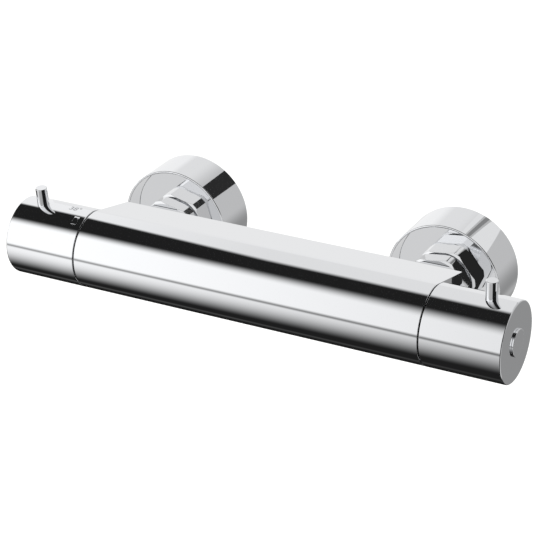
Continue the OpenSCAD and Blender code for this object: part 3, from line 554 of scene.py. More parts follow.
def swept_shell(
    section_at: Callable[[float], Section], angles: Sequence[float], closed: bool
) -> Shell:
    """Sweeps a section round the Z axis while its sizes follow the angle.

    Args:
        section_at: Gives the section at an angle in radians.
        angles: The angles of the columns, in rising order round one turn.
        closed: Whether the section is a closed outline.

    Returns:
        The closed shell.
    """
    small = 1e-4
    columns = len(angles)
    points, normals = [], []
    for angle in angles:
        section = section_at(angle)
        ahead, behind = section_at(angle + small).points, section_at(angle - small).points
        cosine, sine = math.cos(angle), math.sin(angle)
        radii = section.points[:, 0]
        change = (ahead[:, 0] - behind[:, 0]) / (2 * small)
        rise = (ahead[:, 1] - behind[:, 1]) / (2 * small)
        around = np.column_stack([change * cosine - radii * sine, change * sine + radii * cosine, rise])
        facing = section.normals
        up = np.column_stack([-facing[:, 1] * cosine, -facing[:, 1] * sine, facing[:, 0]])
        plain = np.column_stack([facing[:, 0] * cosine, facing[:, 0] * sine, facing[:, 1]])
        normal = np.cross(around, up)
        length = np.linalg.norm(normal, axis=1, keepdims=True)
        normals.append(np.where(length > 1e-6, normal / np.maximum(length, 1e-12), plain))
        points.append(np.column_stack([radii * cosine, radii * sine, section.points[:, 1]]))
    grid_points, grid_normals = np.array(points), np.array(normals)
    rows = grid_points.shape[1]
    first, last = (0, rows) if closed else (1, rows - 1)
    inner = last - first
    flat_points = grid_points[:, first:last].reshape(-1, 3)
    flat_normals = grid_normals[:, first:last].reshape(-1, 3)
    faces: list[tuple[int, ...]] = []
    for column in range(columns):
        here, there = column * inner, (column + 1) % columns * inner
        for row in range(inner if closed else inner - 1):
            above = (row + 1) % inner
            faces.append((here + row, there + row, there + above, here + above))
    if not closed:
        poles = len(flat_points)
        flat_points = np.vstack([flat_points, grid_points[0, 0], grid_points[0, -1]])
        flat_normals = np.vstack([flat_normals, grid_normals[0, 0], grid_normals[0, -1]])
        for column in range(columns):
            here, there = column * inner, (column + 1) % columns * inner
            faces.append((poles, there, here))
            faces.append((poles + 1, here + inner - 1, there + inner - 1))
    return Shell(flat_points, flat_normals, faces)


def turned_shell(corners: Sequence[Corner], closed: bool, columns: int = 128) -> Shell:
    """Turns an outline of rounded corners round the Z axis.

    Args:
        corners: Radius, height and rounding of each corner.
        closed: Whether the outline is closed, or starts and ends on the axis.
        columns: Number of columns round the axis.

    Returns:
        The closed shell.
    """
    section = rounded_section(corners, closed)
    angles = np.arange(columns) * math.tau / columns
    return swept_shell(lambda angle: section, angles, closed)


@dataclass(frozen=True)
class Hexagon:
    """A hexagon whose corners are turned round and whose edges are broken."""

    flats: float = 30.0
    turned_radius: float = 16.4
    face_radius: float = 15.2
    chamfer: float = 30.0
    blend: float = 0.1
    blend_margin: float = 1.2
    least_break: float = 0.15
    edge: float = 0.16

    def reach(self, angle: float) -> float:
        """Distance from the axis to the side.

        Args:
            angle: Angle in radians from a corner.

        Returns:
            The distance, blended where the flat meets the turned corner.
        """
        step = math.tau / 6
        from_flat = (angle % step) - step / 2
        flat = self.flats / 2 / math.cos(from_flat)
        share = max(self.blend - abs(flat - self.turned_radius), 0) / self.blend
        return min(flat, self.turned_radius) - share * share * self.blend / 4

    def angles(self) -> np.ndarray:
        """Sets the columns close together where a flat meets a turned corner.

        Returns:
            The columns' angles in radians, once round.
        """
        step = math.tau / 6
        kink = step / 2 - math.acos(self.flats / 2 / self.turned_radius)
        slope = self.turned_radius * math.tan(step / 2 - kink)
        zone = self.blend_margin * self.blend / slope
        flat_part = np.linspace(kink + zone, step / 2, 7)
        bend = np.linspace(kink - zone, kink + zone, 9)[:-1]
        corner = np.linspace(0, kink - zone, 4)[:-1]
        half = np.concatenate([corner, bend, flat_part])
        whole = np.concatenate([half, step - half[::-1][1:-1]])
        return np.concatenate([whole + step * i for i in range(6)])

    def side(self, angle: float, low: float, high: float) -> list[Corner]:
        """The side's outline at an angle, from its lower face to its upper one.

        Args:
            angle: Angle in radians from a corner.
            low: Height of the lower face.
            high: Height of the upper face.

        Returns:
            Four rounded corners.
        """
        reach = self.reach(angle)
        face = min(self.face_radius, reach - self.least_break)
        rise = (reach - face) * math.tan(math.radians(self.chamfer))
        return [
            (face, low, self.edge),
            (reach, low + rise, self.edge),
            (reach, high - rise, self.edge),
            (face, high, self.edge),
        ]


def make_piece(name: str, shells: Sequence[Shell], finish: Finish) -> Object:
    """Makes one object of one or more shells.

    Args:
        name: The object's name.
        shells: Its shells, in the valve's frame.
        finish: The finish that it wears.

    Returns:
        The object, at the origin.
    """
    faces: list[tuple[int, ...]] = []
    count = 0
    for shell in shells:
        faces += [tuple(corner + count for corner in face) for face in shell.faces]
        count += len(shell.points)
    mesh = bpy.data.meshes.new(name)
    mesh.from_pydata((np.vstack([s.points for s in shells]) * MM).tolist(), [], faces)
    mesh.polygons.foreach_set("use_smooth", [True] * len(mesh.polygons))
    mesh.materials.append(finish.material())
    mesh.normals_split_custom_set_from_vertices(np.vstack([s.normals for s in shells]).tolist())
    return link_mesh(name, mesh)


def link_mesh(name: str, mesh: bpy.types.Mesh) -> Object:
    """Puts a mesh into the scene as an object at the origin.

    Args:
        name: The object's name.
        mesh: Its mesh.

    Returns:
        The object.
    """
    piece = bpy.data.objects.new(name, mesh)
    bpy.context.scene.collection.objects.link(piece)
    return piece


def attach(piece: Object, body: str, slot: str, *nodes: str) -> None:
    """Ties a piece to its body and the nodes that it stands for.

    Args:
        piece: The piece.
        body: The body that carries it.
        slot: The record's material slot; not used.
        *nodes: The nodes that it replaces.
    """
    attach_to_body(piece, body)
    if nodes:
        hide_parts(*nodes)
    LOG.info("%s: %d faces on %s", piece.name, len(piece.data.polygons), body)


def baked_mesh(piece: Object) -> bpy.types.Mesh:
    """Applies an object's modifiers.

    Args:
        piece: The object, which loses its modifiers.

    Returns:
        The finished mesh, which the object now holds.
    """
    graph = bpy.context.evaluated_depsgraph_get()
    mesh = bpy.data.meshes.new_from_object(piece.evaluated_get(graph), depsgraph=graph)
    piece.modifiers.clear()
    piece.data = mesh
    return mesh


def join_solids(target: Object, tool: Object, way: Join) -> None:
    """Joins one solid with another, which is then removed.

    Args:
        target: The solid that stays.
        tool: The solid that is joined with it.
        way: How the two are joined.
    """
    modifier = target.modifiers.new("join", "BOOLEAN")
    modifier.operation = way.value
    modifier.solver = "EXACT"
    modifier.object = tool
    modifier.material_mode = "TRANSFER"
    baked_mesh(target)
    bpy.data.objects.remove(tool)


def merged_copy(node: Object, finish: Finish) -> Object:
    """A closed copy of a node's mesh.

    Args:
        node: The node's object.
        finish: The finish of the copy.

    Returns:
        The copy, as an object of its own.
    """
    mesh = bpy.data.meshes.new(node.name + "_copy")
    work = bmesh.new()
    work.from_mesh(node.data)
    bmesh.ops.remove_doubles(work, verts=work.verts[:], dist=1e-7)
    work.to_mesh(mesh)
    work.free()
    mesh.materials.clear()
    mesh.materials.append(finish.material())
    return link_mesh(node.name + "_copy", mesh)


def give_skin_normals(mesh: bpy.types.Mesh, shells: Sequence[Shell], skin: Finish) -> None:
    """Gives the skin the exact normals of the shells it came from, and the bores smooth ones.

    Args:
        mesh: A mesh whose skin wears the skin's finish and whose bores wear another.
        shells: The shells that the skin was cut from.
        skin: The skin's finish.
    """
    mesh.polygons.foreach_set("use_smooth", [True] * len(mesh.polygons))
    mesh.set_sharp_from_angle(angle=math.radians(BORE_SHARP))
    normals = [Vector(corner.vector) for corner in mesh.corner_normals]
    slots = [i for i, m in enumerate(mesh.materials) if m is not None and m.name == skin.name]
    trees = []
    for shell in shells:
        triangles = [
            (face[0], face[i], face[i + 1]) for face in shell.faces for i in range(1, len(face) - 1)
        ]
        points = [Vector(p) for p in shell.points * MM]
        trees.append((BVHTree.FromPolygons(points, triangles), points, triangles, shell.normals))
    for polygon in mesh.polygons:
        if polygon.material_index not in slots:
            continue
        for loop in polygon.loop_indices:
            place = mesh.vertices[mesh.loops[loop].vertex_index].co
            best, chosen = 1e9, None
            for tree, points, triangles, shell_normals in trees:
                near, facing, index, distance = tree.find_nearest(place)
                badness = distance / MM + FACING_WEIGHT * (1 - facing.dot(polygon.normal))
                if badness < best:
                    corners = triangles[index]
                    weights = poly_3d_calc([points[c] for c in corners], near)
                    mixed = sum(w * shell_normals[c] for w, c in zip(weights, corners))
                    best, chosen = badness, Vector(mixed).normalized()
            if chosen is not None and chosen.dot(polygon.normal) > LEAST_AGREEMENT:
                normals[loop] = chosen
    mesh.normals_split_custom_set(normals)


# Places that the frame gives


def box_mm(node: str) -> tuple[np.ndarray, np.ndarray]:
    """Lowest and highest corner of a node at rest, in millimetres."""
    low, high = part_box(node)
    return np.array(low) / MM, np.array(high) / MM


@dataclass(frozen=True)
class Datum:
    """Places and sizes that the valve's pieces share, read from the frame."""

    left_end: float
    right_end: float
    left_tip: float
    right_tip: float
    axis_y: float
    axis_z: float
    bar_radius: float
    back_y: float
    half_spacing: float
    outlet_x: float
    outlet_y: float

    @classmethod
    def from_frame(cls) -> "Datum":
        """Reads the shared places from the nodes' boxes.

        Returns:
            The places and sizes, in millimetres.
        """
        body_low, body_high = box_mm("valve_body")
        left_low, left_high = box_mm("temperature_knob")
        right_high = box_mm("flow_knob")[1]
        cover_low, cover_high = box_mm("right_cover")
        outlet_low, outlet_high = box_mm("outlet_nipple")
        return cls(
            left_end=body_low[0],
            right_end=body_high[0],
            left_tip=left_low[0],
            right_tip=right_high[0],
            axis_y=(left_low[1] + left_high[1]) / 2,
            axis_z=(left_low[2] + left_high[2]) / 2,
            bar_radius=(left_high[2] - left_low[2]) / 2,
            back_y=body_high[1],
            half_spacing=(cover_low[0] + cover_high[0]) / 2,
            outlet_x=(outlet_low[0] + outlet_high[0]) / 2,
            outlet_y=(outlet_low[1] + outlet_high[1]) / 2,
        )

    def end(self, side: Side) -> Place:
        """Finds the frame of one end.

        Args:
            side: The end.

        Returns:
            A place whose Z points out of the bar and whose X points up.
        """
        x = self.left_end if side is Side.LEFT else self.right_end
        sign = side.value
        axes = np.array([[0, 0, sign], [0, -sign, 0], [1, 0, 0]], float)
        return Place(np.array([x, self.axis_y, self.axis_z]), axes)

    def inlet(self, side: Side) -> Place:
        """The frame of one inlet: Z is the distance from the wall."""
        axes = np.array([[1, 0, 0], [0, 0, -1], [0, 1, 0]], float)
        return Place(np.array([side.value * self.half_spacing, 0, self.axis_z]), axes)

    def outlet(self) -> Place:
        """The frame of the outlet: Z points up, level with the bar's axis at zero."""
        return Place(np.array([self.outlet_x, self.outlet_y, self.axis_z]), np.eye(3))


# Threads, as geometry nodes


@dataclass(frozen=True)
class PipeThread:
    """A G 1/2 pipe thread on a tube, fourteen threads to the inch."""

    crest_radius: float = 10.48
    depth: float = 1.16
    pitch: float = 25.4 / 14
    run_out: float = 1.2
    flank_gain: float = 2.8
    root_flat: float = -0.2
    sharp: float = 38.0
    columns: int = 96
    rows_per_turn: int = 10

    def sheet_group(self) -> NodeTree:
        """Makes the group that turns a flat grid into one sheet of the tube.

        Returns:
            A group whose inputs are the sheet's radii and heights and the thread's sizes.
        """
        name = "turned_sheet"
        if name in bpy.data.node_groups:
            return bpy.data.node_groups[name]
        sizes = (
            "Radius from",
            "Radius to",
            "Height from",
            "Height to",
            "Thread depth",
            "Pitch",
            "Run-out",
        )
        tree = add_group(name, {"Float": sizes, "Int": ("Columns", "Rows")}, "Sheet")
        given = add_node(tree, "NodeGroupInput").outputs
        grid = add_node(
            tree,
            "GeometryNodeMeshGrid",
            {
                "Size X": 1.0,
                "Size Y": 1.0,
                "Vertices X": given["Columns"],
                "Vertices Y": given["Rows"],
            },
        )
        spot = add_node(
            tree,
            "ShaderNodeSeparateXYZ",
            {0: add_node(tree, "GeometryNodeInputPosition").outputs[0]},
        )
        known = {label: given[label] for label in sizes}
        sums = add_formula(
            tree,
            known | {"x": spot.outputs["X"], "y": spot.outputs["Y"]},
            (
                ("turn", "ADD", "x", 0.5),
                ("share", "ADD", "y", 0.5),
                ("rise", "SUBTRACT", "Height to", "Height from"),
                ("height", "MULTIPLY_ADD", "share", "rise", "Height from"),
                ("widening", "SUBTRACT", "Radius to", "Radius from"),
                ("radius", "MULTIPLY_ADD", "share", "widening", "Radius from"),
                ("pitches", "DIVIDE", "height", "Pitch"),
                ("turns", "SUBTRACT", "pitches", "turn"),
                ("flank", "PINGPONG", "turns", 0.5),
                ("crest", "MULTIPLY_ADD", "flank", self.flank_gain, self.root_flat),
                ("to start", "SUBTRACT", "height", "Height from"),
                ("to end", "SUBTRACT", "Height to", "height"),
                ("to an end", "MINIMUM", "to start", "to end"),
                ("fade", "DIVIDE", "to an end", "Run-out"),
                ("faded crest", "MULTIPLY", "crest", "fade"),
                ("lift", "MULTIPLY", "faded crest", "Thread depth"),
                ("reach", "ADD", "radius", "lift"),
                ("angle", "MULTIPLY", "turn", math.tau),
                ("cosine", "COSINE", "angle"),
                ("sine", "SINE", "angle"),
                ("across", "MULTIPLY", "reach", "cosine"),
                ("along", "MULTIPLY", "reach", "sine"),
            ),
            clamped=("crest", "fade"),
        )
        position = add_node(
            tree,
            "ShaderNodeCombineXYZ",
            {"X": sums["across"], "Y": sums["along"], "Z": sums["height"]},
        )
        moved = add_node(
            tree,
            "GeometryNodeSetPosition",
            {"Geometry": grid.outputs["Mesh"], "Position": position.outputs[0]},
        )
        add_node(tree, "NodeGroupOutput", {"Sheet": moved.outputs["Geometry"]})
        return tree

    def tube_group(self) -> NodeTree:
        """Makes the group that closes four sheets into a threaded tube.

        Returns:
            A group whose inputs are the tube's sizes and its material.
        """
        name = "threaded_tube"
        if name in bpy.data.node_groups:
            return bpy.data.node_groups[name]
        sizes = ("Root radius", "Bore radius", "Start", "End", "Thread depth", "Pitch", "Run-out")
        inputs = {"Float": sizes, "Int": ("Columns", "Rows"), "Material": ("Finish",)}
        tree = add_group(name, inputs, "Tube")
        given = add_node(tree, "NodeGroupInput").outputs
        root, bore, start, end = (given[label] for label in sizes[:4])
        join = add_node(tree, "GeometryNodeJoinGeometry")
        for radius_from, radius_to, height_from, height_to, threaded in (
            (root, bore, end, end, False),
            (bore, bore, end, start, False),
            (bore, root, start, start, False),
            (root, root, start, end, True),
        ):
            sheet = add_node(tree, "GeometryNodeGroup", node_tree=self.sheet_group())
            links = {label: given[label] for label in ("Pitch", "Run-out", "Columns")} | {
                "Radius from": radius_from,
                "Radius to": radius_to,
                "Height from": height_from,
                "Height to": height_to,
            }
            if threaded:
                links |= {label: given[label] for label in ("Thread depth", "Rows")}
            else:
                sheet.inputs["Rows"].default_value = 2
            for label, socket in links.items():
                tree.links.new(socket, sheet.inputs[label])
            tree.links.new(sheet.outputs["Sheet"], join.inputs["Geometry"])
        merged = add_node(
            tree,
            "GeometryNodeMergeByDistance",
            {"Geometry": join.outputs["Geometry"], "Distance": 0.001},
        )
        smooth = add_node(tree, "GeometryNodeSetShadeSmooth", {"Geometry": merged.outputs[0]})
        real = add_node(tree, "GeometryNodeRealizeInstances", {"Geometry": smooth.outputs[0]})
        dressed = add_node(
            tree,
            "GeometryNodeSetMaterial",
            {"Geometry": real.outputs[0], "Material": given["Finish"]},
        )
        add_node(tree, "NodeGroupOutput", {"Tube": dressed.outputs[0]})
        return tree

    def build(
        self, name: str, place: Place, bore: float, start: float, end: float, finish: Finish
    ) -> Object:
        """Builds a threaded tube.

        Args:
            name: The object's name.
            place: The tube's own axes.
            bore: Radius of its bore.
            start: Height of its lower end.
            end: Height of its upper end.
            finish: The finish that it wears.

        Returns:
            The tube, at its place.
        """
        tree = self.tube_group()
        piece = link_mesh(name, bpy.data.meshes.new(name))
        modifier = piece.modifiers.new("thread", "NODES")
        modifier.node_group = tree
        values = {
            "Root radius": self.crest_radius - self.depth,
            "Bore radius": bore,
            "Start": start,
            "End": end,
            "Thread depth": self.depth,
            "Pitch": self.pitch,
            "Run-out": self.run_out,
            "Columns": self.columns + 1,
            "Rows": round((end - start) / self.pitch * self.rows_per_turn),
            "Finish": finish.material(),
        }
        for item in tree.interface.items_tree:
            if item.in_out == "INPUT":
                modifier[item.identifier] = values[item.name]
        mesh = baked_mesh(piece)
        mesh.transform(place.matrix())
        mesh.set_sharp_from_angle(angle=math.radians(self.sharp))
        return piece


# Body


@dataclass
class Bar:
    """The cast body: a round bar that tapers back to a flat, with the outlet's pad below."""

    datum: Datum
    nodes: dict[str, Object]
    back_half_height: float = 13.0
    back_edge: float = 1.5
    end_edge: float = 0.4
    skin_depth: float = 0.06
    pad_radius: float = 12.4
    pad_edge: float = 0.5
    pad_root: float = -4.0
    root_edge: float = 0.2
    arc_step: float = 2.0
    edge_step: float = 8.0

    def outline(self) -> tuple[np.ndarray, np.ndarray]:
        """The bar's outline, seen from its right end.

        Returns:
            Points as distances behind and above the axis, and the way each of them faces.
        """
        radius = self.datum.bar_radius - self.skin_depth
        reach = self.datum.back_y - self.datum.axis_y - self.skin_depth
        edge_y = reach - self.back_edge
        edge_z = self.back_half_height - self.skin_depth - self.back_edge
        lean = math.atan2(edge_y, edge_z) - math.acos(
            (radius - self.back_edge) / math.hypot(edge_y, edge_z)
        )
        slope = math.degrees(lean)
        pieces = (
            ((0.0, 0.0), radius, slope, slope - 180 - 2 * slope),
            ((edge_y, -edge_z), self.back_edge, 180 - slope, 90.0),
            ((edge_y, edge_z), self.back_edge, 90.0, slope),
        )
        points, normals = [], []
        for centre, arc_radius, start, stop in pieces:
            step = self.arc_step if arc_radius > self.back_edge else self.edge_step
            for angle in np.linspace(start, stop, math.ceil(abs(stop - start) / step) + 1):
                normal = np.array([math.sin(math.radians(angle)), math.cos(math.radians(angle))])
                points.append(np.array(centre) + arc_radius * normal)
                normals.append(normal)
        return np.array(points), np.array(normals)

    def bar_shell(self) -> Shell:
        """Makes the bar as one closed shell with rounded ends.

        Returns:
            The shell, in the valve's frame.
        """
        outline, facing = self.outline()
        low = self.datum.left_end + self.skin_depth
        high = self.datum.right_end - self.skin_depth
        rows = [
            (
                low + self.end_edge * (1 - math.sin(a)),
                self.end_edge * (1 - math.cos(a)),
                -math.sin(a),
                math.cos(a),
            )
            for a in np.linspace(math.pi / 2, 0, 6)
        ]
        rows += [(low + high - x, inset, -nx, nr) for x, inset, nx, nr in reversed(rows)]
        points, normals = [], []
        for x, inset, along, out in rows:
            ring = outline - facing * inset
            points.append(
                np.column_stack(
                    [
                        np.full(len(ring), x),
                        self.datum.axis_y + ring[:, 0],
                        self.datum.axis_z + ring[:, 1],
                    ]
                )
            )
            normals.append(
                np.column_stack([np.full(len(ring), along), facing[:, 0] * out, facing[:, 1] * out])
            )
        count = len(outline)
        faces: list[tuple[int, ...]] = []
        for row in range(len(rows) - 1):
            for i in range(count):
                j = (i + 1) % count
                faces.append(
                    (
                        row * count + i,
                        row * count + j,
                        (row + 1) * count + j,
                        (row + 1) * count + i,
                    )
                )
        top = (len(rows) - 1) * count
        faces.append(tuple(range(count))[::-1])
        faces.append(tuple(top + i for i in range(count)))
        return outward(Shell(np.vstack(points), np.vstack(normals), faces))

    def pad_shell(self) -> Shell:
        """Makes the round pad under the bar that the outlet is screwed into.

        Returns:
            The shell, in the valve's frame.
        """
        radius = self.pad_radius - self.skin_depth
        low = box_mm("outlet_seal")[1][2] - self.datum.axis_z + self.skin_depth
        corners = [
            (0.0, low, 0.0),
            (radius, low, self.pad_edge),
            (radius, self.pad_root, self.root_edge),
            (0.0, self.pad_root, 0.0),
        ]
        return turned_shell(corners, closed=False, columns=96).placed(self.datum.outlet())

    def build(self) -> None:
        """Builds the body with its smooth skin and its machined bores."""
        shells = [self.bar_shell(), self.pad_shell()]
        skin = make_piece("valve_body_casting", shells[:1], CHROME)
        join_solids(skin, make_piece("outlet_pad", shells[1:], CHROME), Join.EITHER)
        join_solids(skin, merged_copy(self.nodes["valve_body"], BRASS), Join.BOTH)
        give_skin_normals(skin.data, shells, CHROME)
        attach(skin, FIXED, "chrome", "valve_body")


def outward(shell: Shell) -> Shell:
    """Turns a shell's faces so that they agree with its normals.

    Args:
        shell: A closed shell whose faces all turn the same way.

    Returns:
        The shell with its faces outwards.
    """
    face = shell.faces[0]
    a, b, c = (shell.points[i] for i in face[:3])
    if np.dot(np.cross(b - a, c - a), shell.normals[face[0]]) < 0:
        return Shell(shell.points, shell.normals, [f[::-1] for f in shell.faces])
    return shell


# Handles


@dataclass
class Handle:
    """A handle: its knob, lever pin and end cap."""

    datum: Datum
    nodes: dict[str, Object]
    side: Side
    body: str
    name: str
    lever_angle: float
    skin_depth: float = 0.03
    outer_edge: float = 0.75
    inner_edge: float = 0.35
    lever_radius: float = 3.0
    lever_inset: float = 12.5
    lever_height: float = 9.5
    lever_edge: float = 0.4
    lever_root: float = 12.1
    root_edge: float = 0.3
    cap_radius: float = 6.75
    cap_height: float = 1.0
    cap_edge: float = 0.3
    cap_stem_radius: float = 5.45
    cap_stem: float = 3.0
    cap_gap: float = 0.01
    cap_fine_edge: float = 0.1

    @property
    def place(self) -> Place:
        """The frame of the handle's end of the bar."""
        return self.datum.end(self.side)

    @property
    def tip(self) -> float:
        """Finds the handle's outer face.

        Returns:
            Its distance from the body's end.
        """
        if self.side is Side.LEFT:
            return self.datum.left_end - self.datum.left_tip
        return self.datum.right_tip - self.datum.right_end

    def inner(self) -> float:
        """Finds the handle's inner rim.

        Returns:
            Its distance from the body's end.
        """
        low, high = box_mm(self.name + "_knob")
        if self.side is Side.LEFT:
            return self.datum.left_end - high[0]
        return low[0] - self.datum.right_end

    def build_knob(self) -> None:
        """Builds the knob with its smooth skin, its slots and its hollow."""
        radius = self.datum.bar_radius - self.skin_depth
        low, high = self.inner() + self.skin_depth, self.tip - self.skin_depth
        corners = [
            (0.0, low, 0.0),
            (radius, low, self.inner_edge),
            (radius, high, self.outer_edge),
            (0.0, high, 0.0),
        ]
        shell = turned_shell(corners, closed=False, columns=160).placed(self.place)
        knob = make_piece(self.name + "_knob_shell", [shell], CHROME)
        join_solids(knob, merged_copy(self.nodes[self.name + "_knob"], PLATED), Join.BOTH)
        give_skin_normals(knob.data, [shell], CHROME)
        attach(knob, self.body, "chrome", self.name + "_knob")

    def build_lever(self) -> None:
        """Builds the lever pin."""
        top = self.datum.bar_radius + self.lever_height
        corners = [
            (0.0, self.lever_root, 0.0),
            (self.lever_radius, self.lever_root, self.root_edge),
            (self.lever_radius, top, self.lever_edge),
            (0.0, top, 0.0),
        ]
        place = self.place.radially(self.lever_angle, self.tip - self.lever_inset)
        shell = turned_shell(corners, closed=False, columns=64).placed(place)
        lever = make_piece(self.name + "_lever_pin", [shell], CHROME)
        attach(lever, self.body, "chrome", self.name + "_lever")

    def build_cap(self) -> None:
        """Builds the cap that closes the hole over the handle's screw."""
        tip = self.tip
        corners = [
            (0.0, tip - self.cap_stem, 0.0),
            (self.cap_stem_radius, tip - self.cap_stem, self.cap_edge),
            (self.cap_stem_radius, tip + self.cap_gap, self.cap_fine_edge),
            (self.cap_radius, tip + self.cap_gap, self.cap_fine_edge),
            (self.cap_radius, tip + self.cap_height, self.cap_edge),
            (0.0, tip + self.cap_height, 0.0),
        ]
        shell = turned_shell(corners, closed=False, columns=96).placed(self.place)
        cap = make_piece(self.name + "_end_cap", [shell], CHROME)
        attach(cap, self.body, "chrome", self.name + "_cap")

    def build(self) -> None:
        """Builds every visible piece of the handle."""
        self.build_knob()
        self.build_lever()
        self.build_cap()


@dataclass
class TemperatureHandle(Handle):
    """The left handle, with its safety button and the mark of 38 degrees."""

    button_break: float = 0.08
    mark: str = "38\u00b0"
    mark_height: float = 3.5
    size_for_height: float = 1.4
    mark_from_rim: float = 10.0
    mark_forward: float = 1.0
    mark_lift: float = 0.015

    def build_button(self) -> None:
        """Builds the safety button with its edges broken."""
        button = merged_copy(self.nodes["safety_button"], CHROME)
        button.name = "safety_button_key"
        bevel = button.modifiers.new("edge", "BEVEL")
        bevel.width = self.button_break * MM
        bevel.segments = 3
        bevel.limit_method = "ANGLE"
        bevel.angle_limit = math.radians(40)
        mesh = baked_mesh(button)
        mesh.polygons.foreach_set("use_smooth", [True] * len(mesh.polygons))
        mesh.set_sharp_from_angle(angle=math.radians(35))
        attach(button, "button", "chrome", "safety_button")

    def build_mark(self) -> None:
        """Builds the plain number that marks 38 degrees, laid on the knob's round skin."""
        curve = bpy.data.curves.new("temperature_mark", "FONT")
        curve.body = self.mark
        curve.align_x = "CENTER"
        curve.align_y = "CENTER"
        curve.size = self.mark_height * self.size_for_height * MM
        curve.extrude = self.mark_lift * MM
        curve.resolution_u = 6
        text = bpy.data.objects.new("temperature_mark_text", curve)
        bpy.context.scene.collection.objects.link(text)
        graph = bpy.context.evaluated_depsgraph_get()
        mesh = bpy.data.meshes.new_from_object(text.evaluated_get(graph), depsgraph=graph)
        bpy.data.objects.remove(text)
        work = bmesh.new()
        work.from_mesh(mesh)
        bmesh.ops.remove_doubles(work, verts=work.verts[:], dist=1e-7)
        radius = self.datum.bar_radius
        centre = self.datum.left_end - self.mark_from_rim
        for vertex in work.verts:
            across, up, lift = vertex.co / MM
            angle = math.radians(self.mark_forward) - up / radius
            reach = radius + lift - self.mark_lift / 2
            vertex.co = (
                Vector(
                    (
                        centre + across,
                        self.datum.axis_y - reach * math.sin(angle),
                        self.datum.axis_z + reach * math.cos(angle),
                    )
                )
                * MM
            )
        bmesh.ops.recalc_face_normals(work, faces=work.faces[:])
        work.to_mesh(mesh)
        work.free()
        mesh.materials.clear()
        mesh.materials.append(LASER_MARK.material())
        attach(link_mesh("temperature_mark", mesh), self.body, "dark_plastic")

    def build(self) -> None:
        """Builds every visible piece of the left handle."""
        super().build()
        self.build_button()
        self.build_mark()


# Wall connections


